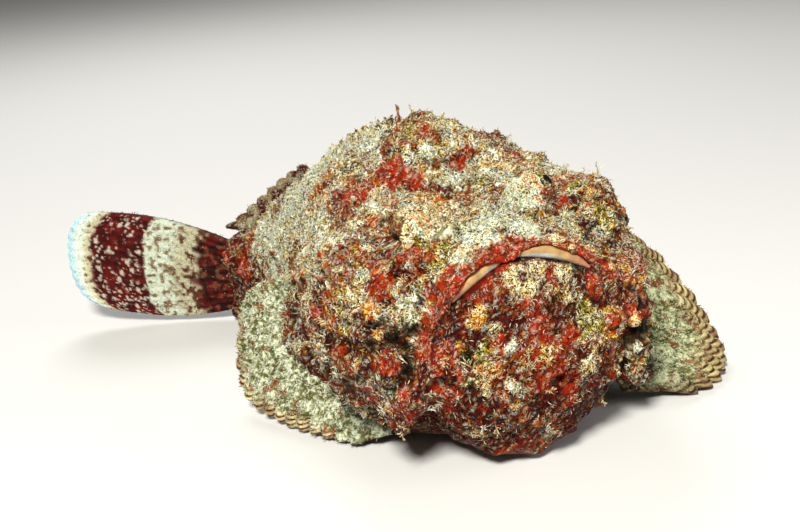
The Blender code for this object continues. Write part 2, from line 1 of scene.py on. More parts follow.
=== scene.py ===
"""Looks of a life-size reef stonefish, resting on a pale studio floor.

Metres, +Z up. Shapes are worked out in the fish's own frame, in which x = 0 is the middle plane
of the head, the head looks along -Y and the fish's right side is -X. ORIGIN carries them to the
row frame.
"""

import math
from itertools import product

import bmesh
import bpy
import numpy as np
from mathutils import Matrix, Vector
from mathutils.bvhtree import BVHTree


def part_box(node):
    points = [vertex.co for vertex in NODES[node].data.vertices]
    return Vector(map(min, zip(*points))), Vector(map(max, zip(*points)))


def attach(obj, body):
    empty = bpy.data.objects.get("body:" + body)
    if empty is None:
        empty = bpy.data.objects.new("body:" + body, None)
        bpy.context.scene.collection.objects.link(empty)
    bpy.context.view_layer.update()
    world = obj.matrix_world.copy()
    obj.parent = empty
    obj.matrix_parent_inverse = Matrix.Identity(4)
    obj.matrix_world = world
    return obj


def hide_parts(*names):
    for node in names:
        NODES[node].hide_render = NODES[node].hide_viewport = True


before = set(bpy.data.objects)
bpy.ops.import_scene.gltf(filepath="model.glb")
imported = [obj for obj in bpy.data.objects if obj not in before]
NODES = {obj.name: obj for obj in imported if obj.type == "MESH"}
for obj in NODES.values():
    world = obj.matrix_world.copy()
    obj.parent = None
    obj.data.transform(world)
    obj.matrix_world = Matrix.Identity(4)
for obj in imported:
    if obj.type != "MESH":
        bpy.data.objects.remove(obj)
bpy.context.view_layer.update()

# Driving dimensions, the same as those of the solids
LIP_Y, TRUNK_START_Y, TRUNK_LENGTH = -0.103, -0.014, 0.120
TAIL_BEND, BEND_POWER = math.radians(66.0), 1.3
HEAD_LENGTH = TRUNK_START_Y - LIP_Y
FISH_LENGTH = HEAD_LENGTH + TRUNK_LENGTH
TAIL_ROOT = 0.207
MOUTH_RADIUS = 0.0362
MOUTH_CENTRE = Vector((0.0, -0.1030, 0.0362))
LIP_DIP, LIP_DIP_TURN, LIP_DIP_WIDTH = 0.0011, math.radians(99), math.radians(10)
CORNERS_FORWARD = 0.0048
SIDES = {-1: "right", 1: "left"}
EYE_X, EYE_Y, EYE_Z, LEFT_EYE_HIGHER = 0.0195, -0.0690, 0.0755, 0.0030
EYEBALL_RADIUS, EYEBALL_OUT = 0.0062, 0.0036
GAZE = {-1: Vector((-0.96, -0.16, -0.10)).normalized(), 1: Vector((0.84, -0.24, 0.42)).normalized()}

# Skin and coat
FLESH = ("head", "lower_jaw", "trunk", "tail_stalk", "spiny_dorsal_fin")
GROW = 0.00030            # closes the gaps between the solids before they are fused
VOXEL = 0.00108
FINE_ROUND_EYE, FINE_ROUND_LINE = 0.0098, 0.0042   # where the skin's faces are halved
COAT_DEPTH = 0.0013       # how far the skin lies inside the solids
TUFT_SPACING = 0.00063
TUFT_THICK, TUFT_LENGTH = 0.00019, 0.0014
TUFT_SIDES, TUFT_RINGS = 3, 2
WARTS, CLUSTERS, FLORETS = (0.0064, 3), (0.0034, 9), (0.0014, 23)   # size and seed
WART_RISE, CLUSTER_RISE, FOLD_RISE, GRAIN_RISE = 0.0016, 0.0011, 0.0017, 0.00032
TASSELS, TASSEL_BRANCHES = 240, 8
TASSEL_LENGTHS, BRANCH_THICK, STEM_THICK = (0.0026, 0.0052), 0.00017, 0.00028
TUFT_ROOT_DEPTH, TUFT_OFF_FLOOR, LOWEST_TUFT = 0.0003, 0.0002, 0.004
PATCH_ON_MAP, MAP_MIDDLE = 0.003, 0.036   # a tuft's size on the map, and the height it turns about
PIECE_TRIANGLES = 190000
SKIN_SEED, COAT_SEED, FIN_SEED = 19, 41, 77
BELLY = (0.40, 0.26, 0.19)

# Eyelids: skin over most of each eyeball, open round the pupil
LID_RADIUS = 0.0071
LID_OPENING = {-1: math.radians(37.0), 1: math.radians(18.0)}
PUPIL_WAY = {-1: Vector((-0.90, -0.08, -0.48)).normalized(), 1: Vector((0.52, -0.52, 0.67)).normalized()}
LID_RIM, LID_EDGE, LID_FOLDED_IN = 0.00055, 0.05, 0.0010
PUPIL_DEGREES, CORNEA_DEGREES, CORNEA_RISE = 34.0, 40.0, 0.0007
PUPIL_BLACK, IRIS_TAN, IRIS_RUST = (0.01, 0.01, 0.012), (0.46, 0.34, 0.18), (0.32, 0.11, 0.04)
FURROW_AT, FURROW_WIDTH, FURROW_DEPTH = 0.0102, 0.0012, 0.0020
FIRST_ROW, DOME_ROW = 0.0022, 0.0030   # from the pupil to the rows of orange on the dome

# Mouth: the groove that the two linings lie in
LINING_IN, LINING_RADIUS = 0.0010, 0.0021
LINING_TURNS = {"right": (101, 137), "left": (95, 48)}
LINE_HALF, LINE_DEPTH = 0.0005, 0.0007
UPPER_ARCH = 0.2          # the sine of the turn where the line between the lips starts
LIP_FRONT, MOUTH_FRONT = -0.094, -0.090   # y, the face being in front of it
LINING_BACK, LINING_FULLER = 0.0006, 0.0003
LINING_TAN, LINING_PINK, LINING_BLUE = (0.62, 0.49, 0.29), (0.68, 0.42, 0.33), (0.66, 0.73, 0.78)
LINING_BLUE_TO = {"right": 0.35, "left": 0.55}   # the share of the lining's length that is blue below

# The photograph's frame
PHOTO_WIDTH, PHOTO_HEIGHT = 800, 532
LENS, SENSOR = 60.0, 36.0
FOCAL = LENS / SENSOR * PHOTO_WIDTH
CAMERA_AZIMUTH, CAMERA_ELEVATION, CAMERA_ROLL = (math.radians(d) for d in (-19.79, 18.50, -5.05))
CAMERA_DISTANCE = 0.4732
CAMERA_TARGET = Vector((-0.0173, -0.0400, 0.0527))


def turret_place(side):
    """The middle of an eye's turret, in the fish's frame. side is -1 for the fish's right."""
    return Vector((side * EYE_X, EYE_Y, EYE_Z + (LEFT_EYE_HIGHER if side > 0 else 0.0)))


def eye_place(side):
    return turret_place(side) + GAZE[side] * EYEBALL_OUT


def box_middle(node):
    low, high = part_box(node)
    return (low + high) / 2


ORIGIN = (box_middle("eye_right") + box_middle("eye_left") - eye_place(-1) - eye_place(1)) / 2
ORIGIN.z = 0.0


def camera_axes():
    """Right, up and look directions, and the place, in the fish's frame."""
    flat = Vector((-math.sin(CAMERA_AZIMUTH), math.cos(CAMERA_AZIMUTH), 0.0))
    right = Vector((math.cos(CAMERA_AZIMUTH), math.sin(CAMERA_AZIMUTH), 0.0))
    look = flat * math.cos(CAMERA_ELEVATION) - Vector((0, 0, 1)) * math.sin(CAMERA_ELEVATION)
    up = flat * math.sin(CAMERA_ELEVATION) + Vector((0, 0, 1)) * math.cos(CAMERA_ELEVATION)
    rolled_right = right * math.cos(CAMERA_ROLL) + up * math.sin(CAMERA_ROLL)
    rolled_up = up * math.cos(CAMERA_ROLL) - right * math.sin(CAMERA_ROLL)
    return rolled_right, rolled_up, look, CAMERA_TARGET - look * CAMERA_DISTANCE


def make_camera():
    right, up, look, place = camera_axes()
    data = bpy.data.cameras.new("camera")
    data.lens, data.sensor_width = LENS, SENSOR
    data.clip_start = 0.01
    camera = bpy.data.objects.new("camera", data)
    bpy.context.scene.collection.objects.link(camera)
    turn = Matrix((right, up, -look)).transposed().to_4x4()
    camera.matrix_world = Matrix.Translation(place + ORIGIN) @ turn
    bpy.context.scene.camera = camera


def pixel_ray(x, y):
    """From the camera through a pixel of the photograph, in the fish's frame."""
    right, up, look, place = camera_axes()
    across, down = (x - PHOTO_WIDTH / 2) / FOCAL, (y - PHOTO_HEIGHT / 2) / FOCAL
    return place, (look + right * across - up * down).normalized()


make_camera()


# Numbers over many points at once

def eased(low, high, x):
    """0 below low and 1 above high, with a soft step between."""
    t = np.clip((x - low) / (high - low), 0.0, 1.0)
    return t * t * (3.0 - 2.0 * t)


def faded(low, high, x):
    """1 below low and 0 above high."""
    return 1.0 - eased(low, high, x)


def bump_at(middle, width, x):
    return np.exp(-(((x - middle) / width) ** 2))


def unit(vectors):
    return vectors / np.maximum(np.linalg.norm(vectors, axis=-1, keepdims=True), 1e-12)


def linear(colours):
    """Linear light from sRGB values."""
    c = np.asarray(colours, float)
    return np.where(c <= 0.04045, c / 12.92, ((c + 0.055) / 1.055) ** 2.4)


NOISE_SHIFT, SPOT_SHIFT = 31.7, 17.3   # keep the lattices off the middle plane


def scramble(cells, seed):
    """A repeatable number from 0 to 1 for each whole-number cell."""
    x, y, z = (cells[..., k] for k in range(3))
    n = x * 73856093 ^ y * 19349663 ^ z * 83492791 ^ seed * 374761393
    n = (n ^ (n >> 13)) & 0x7FFFFFFF
    n = (n * 1274126177 + 12345) & 0x7FFFFFFF
    n = (n ^ (n >> 15)) * 668265263 & 0x7FFFFFFF
    return (n ^ (n >> 13) & 0x7FFFFFFF) % 65536 / 65535.0


def noise(points, size, seed):
    """Smooth noise from -1 to 1, with lumps about size across."""
    p = points / size + NOISE_SHIFT
    cell = np.floor(p).astype(np.int64)
    f = p - cell
    f = f * f * (3.0 - 2.0 * f)
    total = np.zeros(len(points))
    for corner in product((0, 1), repeat=3):
        share = np.where(corner, f, 1 - f)
        total += share[:, 0] * share[:, 1] * share[:, 2] * scramble(cell + corner, seed)
    return total * 2.0 - 1.0


def rough_noise(points, size, seed):
    """Three octaves of noise, about -1 to 1."""
    total = noise(points, size, seed) + 0.55 * noise(points, size * 0.47, seed + 1)
    return (total + 0.3 * noise(points, size * 0.23, seed + 2)) / 1.3


def cell_spots(points, size, seed):
    """The distance to the nearest of scattered spots, that spot's own number, and the way from it."""
    p = points / size + SPOT_SHIFT
    cell = np.floor(p).astype(np.int64)
    near = np.full(len(points), 9.0)
    own = np.zeros(len(points))
    offset = np.zeros_like(p)
    for step in product((-1, 0, 1), repeat=3):
        c = cell + step
        spot = c + np.stack([scramble(c, seed + k) for k in (1, 2, 3)], axis=1)
        away = np.linalg.norm(p - spot, axis=1)
        closer = away < near
        near = np.where(closer, away, near)
        own = np.where(closer, scramble(c, seed + 4), own)
        offset = np.where(closer[:, None], p - spot, offset)
    return near, own, offset


# Meshes from arrays

def new_mesh(name, points, quads, triangles=None):
    """A mesh from points in the fish's frame."""
    mesh = bpy.data.meshes.new(name)
    points = np.asarray(points, float) + np.array(ORIGIN)
    mesh.vertices.add(len(points))
    mesh.vertices.foreach_set("co", points.astype(np.float32).ravel())
    corners = np.asarray(quads).ravel()
    starts = np.arange(len(quads)) * 4
    if triangles is not None:
        starts = np.concatenate([starts, len(corners) + np.arange(len(triangles)) * 3])
        corners = np.concatenate([corners, np.asarray(triangles).ravel()])
    mesh.loops.add(len(corners))
    mesh.loops.foreach_set("vertex_index", corners.astype(np.int32))
    mesh.polygons.add(len(starts))
    mesh.polygons.foreach_set("loop_start", starts.astype(np.int32))
    mesh.update(calc_edges=True)
    mesh.shade_smooth()
    return mesh


def paint(mesh, colours, name="Marks", cover=None):
    """Stores a colour at each point, from sRGB values, for the materials to read."""
    rgba = np.ones((len(mesh.vertices), 4), np.float32)
    rgba[:, :3] = linear(np.clip(colours, 0.0, 1.0))
    if cover is not None:
        rgba[:, 3] = cover
    layer = mesh.color_attributes.new(name, "FLOAT_COLOR", "POINT")
    layer.data.foreach_set("color", rgba.ravel())


def add_piece(name, mesh, material, replaced=()):
    """A visible piece on the one body, with the nodes that it is shown in place of."""
    piece = bpy.data.objects.new(name, mesh)
    bpy.context.scene.collection.objects.link(piece)
    mesh.materials.append(material)
    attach(piece, "root")
    if replaced:
        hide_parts(*replaced)


def points_of(mesh):
    """The mesh's points, in the fish's frame."""
    co = np.empty(len(mesh.vertices) * 3, np.float32)
    mesh.vertices.foreach_get("co", co)
    return co.reshape(-1, 3).astype(float) - np.array(ORIGIN)


def normals_of(mesh):
    no = np.empty(len(mesh.vertices) * 3, np.float32)
    mesh.vertex_normals.foreach_get("vector", no)
    return no.reshape(-1, 3).astype(float)


def set_points(mesh, points):
    mesh.vertices.foreach_set("co", (points + np.array(ORIGIN)).astype(np.float32).ravel())
    mesh.update()


# Materials

def feed(tree, node, inputs):
    """Sets a node's inputs, each from a number or colour, a socket, or a node's first output."""
    for name, value in inputs.items():
        if isinstance(value, bpy.types.Node):
            value = next(socket for socket in value.outputs if socket.enabled)
        if isinstance(value, bpy.types.NodeSocket):
            tree.links.new(value, node.inputs[name])
        else:
            node.inputs[name].default_value = value


def add_node(tree, kind, inputs, **settings):
    node = tree.nodes.new("ShaderNode" + kind)
    for name, value in settings.items():
        setattr(node, name, value)
    feed(tree, node, inputs)
    return node


def curl_lines(tree, place, size, shift):
    """Thin curly lines: 1 along them and 0 between."""
    moved = add_node(tree, "VectorMath", {0: place, 1: (shift, shift * 0.7, -shift)})
    pattern = {"Scale": 1.0 / size, "Detail": 1.0, "Distortion": 1.1}
    swirl = add_node(tree, "TexNoise", {"Vector": moved, **pattern})
    centred = add_node(tree, "Math", {0: swirl, 1: 0.5}, operation="SUBTRACT")
    off = add_node(tree, "Math", {0: centred}, operation="ABSOLUTE")
    fall = {"From Min": 0.4 * CURL_WIDTH, "From Max": 1.3 * CURL_WIDTH, "To Min": 1.0, "To Max": 0.0}
    return add_node(tree, "MapRange", {"Value": off, **fall}, interpolation_type="SMOOTHSTEP")


def marked_material(name, roughness, bump_size, bump_depth, speckle, coat=0.0, specular=0.35, curls=()):
    """Reads the painted marks, adds fine speckle and grain, and varies the roughness.

    curls are the sizes and shifts of two sets of pale curly lines, which cover the marks in the
    second painted colour.
    """
    material = bpy.data.materials.new(name)
    material.use_nodes = True
    tree = material.node_tree
    marks = add_node(tree, "Attribute", {}, attribute_name="Marks")
    place = add_node(tree, "TexCoord", {}).outputs["Object"]
    fine = add_node(tree, "TexNoise", {"Vector": place, "Scale": 1.0 / bump_size, "Detail": 3.0})
    tones = {"From Min": 0.30, "From Max": 0.70, "To Min": 1.0 - speckle, "To Max": 1.0 + speckle}
    tone = add_node(tree, "MapRange", {"Value": fine, **tones})
    colour = add_node(tree, "VectorMath", {0: marks, "Scale": tone}, operation="SCALE")
    height = fine
    if curls:
        crest = add_node(tree, "Attribute", {}, attribute_name="Crest")
        first, second = (curl_lines(tree, place, *curl) for curl in curls)
        lines = add_node(tree, "Math", {0: first, 1: second}, operation="MAXIMUM")
        cover = add_node(tree, "Math", {0: lines, 1: crest.outputs["Alpha"]}, operation="MULTIPLY")
        colour = add_node(tree, "Mix", {"Factor": cover, "A": colour, "B": crest}, data_type="RGBA")
        height = add_node(tree, "Math", {0: cover, 1: CURL_RISE, 2: fine}, operation="MULTIPLY_ADD")
    spread = {"To Min": roughness - 0.10, "To Max": roughness + 0.12}
    gloss = add_node(tree, "MapRange", {"Value": fine, **spread})
    bump = add_node(tree, "Bump", {"Strength": 0.6, "Distance": bump_depth, "Height": height})
    feed(tree, tree.nodes["Principled BSDF"], {
        "Specular IOR Level": specular,
        "Coat Weight": coat,
        "Coat Roughness": 0.12,
        "Base Color": colour,
        "Roughness": gloss,
        "Normal": bump,
    })
    return material


CURL_WIDTH, CURL_RISE = 0.060, 2.5
CURLS = ((0.0021, 0.0), (0.0014, 0.37))
SKIN = marked_material("skin", 0.56, 0.0007, 0.0003, 0.30, specular=0.08, curls=CURLS)
COAT = marked_material("coat", 0.60, 0.0012, 0.0001, 0.10, specular=0.08)
FIN_SKIN = marked_material("fin_skin", 0.56, 0.0006, 0.0003, 0.25, specular=0.10)
LINING = marked_material("mouth_lining", 0.46, 0.0009, 0.0001, 0.07, coat=0.10, specular=0.4)
EYE = marked_material("eye", 0.26, 0.0005, 0.00002, 0.06, coat=0.35, specular=0.3)

# Markings. Each kind has a skin colour, and shares of the tufts' colours
TUFT_COLOURS = {
    "white": (0.94, 0.96, 0.89),
    "cream": (0.95, 0.91, 0.69),
    "butter": (0.92, 0.79, 0.32),
    "tan": (0.84, 0.60, 0.25),
    "orange": (0.86, 0.41, 0.05),
    "red": (0.76, 0.20, 0.02),
    "maroon": (0.38, 0.08, 0.03),
    "olive": (0.54, 0.52, 0.14),
    "dark": (0.12, 0.10, 0.05),
}
KINDS = {
    "sage": ((0.27, 0.27, 0.16), dict(white=50, cream=34, tan=6, red=1, maroon=3, olive=6)),
    "pale": ((0.46, 0.49, 0.35), dict(white=72, cream=24, tan=4)),
    "cream": ((0.42, 0.28, 0.11), dict(white=30, cream=50, butter=9, tan=8, red=1, maroon=2)),
    "tan": ((0.45, 0.22, 0.06), dict(white=6, cream=32, butter=16, tan=30, orange=10, red=4, maroon=2)),
    "orange": ((0.60, 0.24, 0.04), dict(cream=22, butter=8, tan=18, orange=46, red=6)),
    "rust": ((0.28, 0.08, 0.02), dict(white=10, cream=26, tan=15, orange=18, red=20, maroon=9, olive=2)),
    "red": ((0.44, 0.065, 0.01), dict(white=11, cream=16, orange=22, red=47, maroon=4)),
    "maroon": ((0.11, 0.015, 0.006), dict(white=8, cream=10, tan=6, red=25, maroon=41, dark=10)),
    "olive": ((0.20, 0.17, 0.03), dict(white=8, cream=18, butter=15, olive=45, dark=6, tan=6, red=2)),
    # dark: near-black skin, partly the fish's own black-brown and partly painted shade in the pits that it
    # is sunk into.
    "dark": ((0.02, 0.02, 0.012), dict(white=6, cream=10, olive=16, maroon=14, dark=54)),
    "bare": ((0.66, 0.69, 0.55), dict(white=60, cream=40)),
}
REGION_KINDS = ("sage", "pale", "cream", "tan", "rust", "red", "maroon", "olive", "dark")
REGIONS = {
    "top": (0.34, 0.19, 0.28, 0.12, 0.36, 0.30, 0.18, 0.18, 0.0),
    "cheek": (0.30, -0.10, 0.08, 0.10, 0.30, 0.28, 0.58, 0.32, 0.44),
    "jaw": (-0.2, -0.1, 0.22, 0.24, 0.36, 0.60, 0.58, 0.20, 0.12),
    "trunk": (0.72, 0.66, 0.30, 0.0, 0.22, 0.0, 0.02, 0.08, 0.08),
    "stalk": (-0.2, -0.1, 0.0, 0.0, 0.50, 0.80, 0.95, -0.3, -0.3),
}
ELSEWHERE = -4.0          # where a region has none of a kind by itself
HEAD_ENDS, STALK_STARTS = (0.078, 0.112), (0.174, 0.194)    # behind the lip, along the spine
SIDES_END, TOP_STARTS = (0.045, 0.060), (0.058, 0.076)      # heights
JAW_ENDS, JAW_EDGE = (-0.098, -0.085), (0.0335, 0.0350)     # y, and away from the mouth's middle
KIND_SHARPNESS = 6.5
KIND = {name: number for number, name in enumerate(KINDS)}
KIND_SKIN = np.array([skin for skin, _ in KINDS.values()])
TUFT_PALETTE = np.array(list(TUFT_COLOURS.values()))
TUFT_SHARES = np.array([[tufts.get(c, 0) for c in TUFT_COLOURS] for _, tufts in KINDS.values()], float)
TUFT_SHARES /= TUFT_SHARES.sum(axis=1, keepdims=True)
PATCH_STRENGTH, STRONGER = 2.2, {"bare": 5.0, "dark": 3.0}

# Patches that the photograph shows: kind, radius and middle, in its pixels
PATCHES = (
    # back and hump
    ("red", 10, 395, 120), ("red", 7, 421, 131), ("rust", 7, 386, 145), ("red", 6, 402, 138),
    ("pale", 12, 368, 136), ("pale", 9, 428, 151), ("sage", 8, 410, 156), ("rust", 5, 437, 163),
    ("maroon", 5, 414, 150), ("rust", 6, 474, 164), ("cream", 9, 445, 122), ("rust", 6, 432, 116),
    ("rust", 5, 461, 122), ("pale", 5, 395, 118), ("red", 12, 393, 171), ("red", 11, 411, 179),
    ("rust", 6, 431, 186), ("maroon", 8, 450, 189), ("red", 10, 457, 161), ("red", 9, 471, 152),
    ("tan", 6, 470, 139), ("olive", 9, 482, 178), ("sage", 9, 455, 174), ("cream", 12, 492, 150),
    ("sage", 10, 500, 172),
    # round the right eye
    ("orange", 5, 409, 208), ("orange", 4, 416, 205), ("orange", 5, 413, 220), ("orange", 4, 420, 226),
    ("orange", 4, 398, 227), ("orange", 4, 403, 217), ("orange", 4, 385, 203), ("orange", 4, 381, 211),
    ("cream", 9, 407, 233), ("pale", 9, 420, 228), ("dark", 3, 383, 221), ("dark", 3, 389, 229),
    ("sage", 8, 358, 206), ("sage", 10, 352, 222), ("sage", 9, 366, 240), ("olive", 7, 384, 243),
    ("sage", 8, 340, 236), ("olive", 6, 356, 262), ("pale", 6, 372, 206), ("cream", 9, 375, 190),
    ("rust", 5, 352, 212), ("orange", 5, 424, 243), ("orange", 5, 403, 246), ("maroon", 7, 421, 262),
    ("red", 8, 400, 257), ("pale", 4, 405, 266), ("olive", 9, 442, 249), ("olive", 8, 436, 262),
    ("bare", 11, 442, 231),
    # round the left eye
    ("cream", 9, 521, 180), ("cream", 7, 532, 178), ("orange", 5, 509, 169), ("olive", 7, 526, 213),
    ("olive", 5, 537, 211), ("red", 4, 546, 192), ("orange", 4, 529, 171), ("orange", 4, 541, 185),
    ("red", 4, 543, 208), ("dark", 3, 552, 212), ("dark", 4, 574, 206), ("red", 7, 559, 200),
    ("pale", 5, 567, 212), ("maroon", 6, 561, 220), ("maroon", 6, 573, 200), ("olive", 7, 580, 180),
    ("pale", 8, 555, 149), ("red", 7, 580, 164), ("maroon", 7, 597, 171), ("rust", 6, 602, 194),
    ("cream", 8, 590, 214), ("olive", 7, 611, 222), ("dark", 4, 596, 228), ("sage", 7, 576, 227),
    ("pale", 8, 517, 201), ("orange", 3, 536, 190), ("orange", 3, 536, 199), ("orange", 3, 533, 181),
    ("dark", 5, 613, 200), ("maroon", 7, 622, 212), ("olive", 6, 600, 182), ("dark", 4, 588, 234),
    ("olive", 10, 602, 207), ("dark", 6, 584, 194), ("maroon", 7, 587, 222), ("olive", 8, 574, 184),
    ("dark", 5, 600, 196),
    # snout
    ("pale", 16, 498, 216), ("sage", 8, 512, 206), ("pale", 15, 478, 231), ("pale", 14, 530, 227),
    ("pale", 8, 461, 257), ("cream", 8, 450, 212), ("cream", 9, 560, 236), ("tan", 5, 475, 214),
    # lips and the strips beside the mouth
    ("red", 7, 503, 249), ("red", 6, 487, 259), ("red", 6, 470, 270), ("red", 6, 455, 286),
    ("red", 5, 526, 243), ("rust", 5, 546, 240), ("red", 5, 568, 242), ("red", 5, 585, 250),
    ("maroon", 7, 443, 310), ("maroon", 8, 440, 338), ("maroon", 8, 446, 385), ("rust", 5, 600, 264),
    ("tan", 6, 613, 264), ("tan", 6, 618, 285), ("maroon", 5, 613, 245), ("rust", 6, 636, 246),
    ("rust", 6, 639, 270), ("rust", 6, 636, 300), ("tan", 6, 637, 322), ("sage", 7, 641, 350),
    # lower jaw
    ("cream", 12, 513, 276), ("cream", 11, 525, 288), ("red", 11, 474, 291), ("maroon", 9, 504, 305),
    ("red", 11, 537, 309), ("red", 11, 543, 329), ("red", 8, 555, 274), ("red", 11, 600, 284),
    ("cream", 6, 570, 295), ("olive", 15, 592, 318), ("tan", 12, 608, 337), ("red", 7, 572, 336),
    ("maroon", 4, 563, 320), ("tan", 11, 480, 318), ("olive", 9, 491, 342), ("olive", 8, 485, 366),
    ("cream", 7, 494, 328), ("tan", 5, 453, 356), ("maroon", 10, 452, 335), ("olive", 7, 481, 351),
    ("dark", 5, 468, 350), ("pale", 6, 512, 348), ("red", 7, 500, 340), ("maroon", 7, 514, 366),
    ("tan", 10, 546, 356), ("cream", 8, 594, 362), ("maroon", 7, 563, 366), ("cream", 5, 486, 394),
    ("olive", 8, 468, 386), ("pale", 6, 512, 387), ("dark", 8, 560, 384), ("maroon", 14, 492, 424),
    ("maroon", 12, 548, 408), ("red", 7, 615, 318), ("maroon", 7, 610, 350), ("cream", 6, 620, 372),
    ("maroon", 7, 600, 386),
    # right cheek
    ("rust", 10, 384, 256), ("maroon", 10, 395, 266), ("red", 9, 379, 285), ("dark", 7, 412, 276),
    ("dark", 4, 390, 276), ("dark", 8, 421, 283), ("dark", 5, 413, 268), ("maroon", 6, 388, 252),
    ("rust", 5, 418, 258), ("cream", 5, 396, 289), ("sage", 8, 404, 304), ("dark", 4, 428, 300),
    ("olive", 5, 391, 313), ("maroon", 6, 384, 302), ("tan", 9, 372, 311), ("dark", 10, 397, 343),
    ("red", 13, 385, 365), ("maroon", 9, 378, 385), ("dark", 5, 405, 291), ("tan", 8, 375, 333),
    ("red", 10, 403, 395), ("maroon", 12, 421, 370), ("maroon", 11, 418, 394), ("olive", 8, 350, 246),
    ("olive", 7, 346, 262), ("sage", 7, 338, 268), ("sage", 7, 361, 274), ("rust", 5, 362, 256),
    ("olive", 7, 338, 311), ("maroon", 6, 355, 317), ("olive", 6, 340, 330), ("dark", 8, 341, 348),
    ("rust", 9, 335, 366), ("tan", 8, 352, 367), ("sage", 7, 417, 316), ("tan", 6, 410, 335),
    ("olive", 7, 432, 375),
    # trunk
    ("rust", 6, 350, 175), ("maroon", 6, 343, 192), ("rust", 4, 341, 218), ("sage", 12, 320, 215),
    ("rust", 7, 311, 172), ("rust", 5, 304, 185), ("tan", 7, 285, 190), ("rust", 5, 262, 205),
    ("olive", 5, 254, 225), ("rust", 4, 250, 238), ("rust", 7, 272, 256), ("rust", 7, 288, 262),
    ("pale", 4, 281, 257), ("rust", 4, 278, 270), ("red", 8, 244, 270), ("rust", 6, 236, 252),
    ("rust", 5, 316, 255), ("rust", 5, 322, 274), ("maroon", 9, 312, 297), ("maroon", 5, 272, 289),
    ("maroon", 5, 256, 292), ("pale", 4, 325, 284), ("rust", 6, 334, 280), ("rust", 6, 315, 325),
    ("rust", 6, 312, 345), ("olive", 5, 318, 343), ("maroon", 4, 320, 369), ("olive", 4, 238, 284),
)


def spine_at(distance):
    """Where the spine runs at a distance behind the lip: (x, y, heading from +Y towards -X)."""
    if distance <= HEAD_LENGTH:
        return 0.0, LIP_Y + distance, 0.0
    steps = np.linspace(0.0, distance - HEAD_LENGTH, 60)
    angle = TAIL_BEND * (steps / TRUNK_LENGTH) ** BEND_POWER
    x = -np.trapz(np.sin(angle), steps)
    y = TRUNK_START_Y + np.trapz(np.cos(angle), steps)
    return float(x), float(y), float(angle[-1])


def body_frame(distance, side, height):
    """The point at a distance along the spine, to the fish's left by side, at a height."""
    x, y, heading = spine_at(distance)
    return Vector((x + side * math.cos(heading), y + side * math.sin(heading), height))


STATIONS = np.linspace(0.0, FISH_LENGTH + 0.02, 90)
SPINE = np.array([spine_at(d) for d in STATIONS])


def along_body(points):
    """How far behind the lip each point is, along the spine, and how far to the fish's left."""
    away = ((points[:, None, :2] - SPINE[None, :, :2]) ** 2).sum(axis=2)
    best = away.argmin(axis=1)
    x, y, heading = SPINE[best].T
    ahead = -(points[:, 0] - x) * np.sin(heading) + (points[:, 1] - y) * np.cos(heading)
    side = (points[:, 0] - x) * np.cos(heading) + (points[:, 1] - y) * np.sin(heading)
    return STATIONS[best] + ahead, side


def around_mouth(points):
    """Distance from the middle of the mouth's arch, and the turn from the fish's left corner."""
    x = points[:, 0] - MOUTH_CENTRE.x
    z = points[:, 2] - MOUTH_CENTRE.z
    return np.hypot(x, z), np.arctan2(z, x)


def dip_at(turn):
    """How far the arch dips where the upper lip has its knob."""
    return LIP_DIP * bump_at(LIP_DIP_TURN, LIP_DIP_WIDTH, turn)


def lining_thick(turn):
    """The radius of the linings at a turn of the arch: pointed at both ends, and 0 beyond them."""
    degrees = np.degrees(turn)
    thick = np.zeros_like(degrees)
    for first, last in LINING_TURNS.values():
        share = (degrees - first) / (last - first)
        body = np.sin(math.pi * np.clip(0.04 + 0.94 * share, 0.0, 1.0)) ** 0.9
        thick = np.where((share >= 0.0) & (share <= 1.0), LINING_RADIUS * body, thick)
    return thick


def line_radius(turn):
    """The radius of the line between the lips."""
    return MOUTH_RADIUS - LINING_IN - dip_at(turn)


def arch_front(turn):
    """How far forward the arch of the mouth lies, as y."""
    return MOUTH_CENTRE.y - CORNERS_FORWARD * np.cos(turn) ** 2


def off_line(points):
    """How far each point is outside the line between the lips and off its plane, and its turn."""
    radius, turn = around_mouth(points)
    return radius - line_radius(turn), np.abs(points[:, 1] - arch_front(turn)), turn


def away_from(points, place):
    """How far each point is from a place."""
    return np.linalg.norm(points - np.array(place), axis=1)


def nearest(points, rule):
    """The distance to the nearer of the two places that a rule gives for the sides."""
    return np.minimum(away_from(points, rule(-1)), away_from(points, rule(1)))


def fused_flesh():
    """Head, jaw, trunk, tail stalk, spines and eyelids as one even surface, finer where it needs it."""
    whole = bmesh.new()
    for name in FLESH:
        work = bmesh.new()
        work.from_mesh(NODES[name].data)
        bmesh.ops.remove_doubles(work, verts=work.verts, dist=0.000002)
        work.normal_update()
        for vertex in work.verts:
            vertex.co += vertex.normal * GROW
        scratch = bpy.data.meshes.new("scratch")
        work.to_mesh(scratch)
        work.free()
        whole.from_mesh(scratch)
        bpy.data.meshes.remove(scratch)
    for side in SIDES:
        lid = Matrix.Translation(eye_place(side) + ORIGIN)
        bmesh.ops.create_icosphere(whole, subdivisions=4, radius=LID_RADIUS, matrix=lid)
    mesh = bpy.data.meshes.new("flesh")
    whole.to_mesh(mesh)
    whole.free()
    guide = bpy.data.objects.new("flesh", mesh)
    bpy.context.scene.collection.objects.link(guide)
    remesh = guide.modifiers.new("remesh", "REMESH")
    remesh.mode = "VOXEL"
    remesh.voxel_size = VOXEL
    smooth = guide.modifiers.new("smooth", "SMOOTH")
    smooth.factor = 0.5
    smooth.iterations = 3
    bpy.context.view_layer.update()
    graph = bpy.context.evaluated_depsgraph_get()
    even = bpy.data.meshes.new_from_object(guide.evaluated_get(graph))
    bpy.data.objects.remove(guide)
    refine(even)
    return even


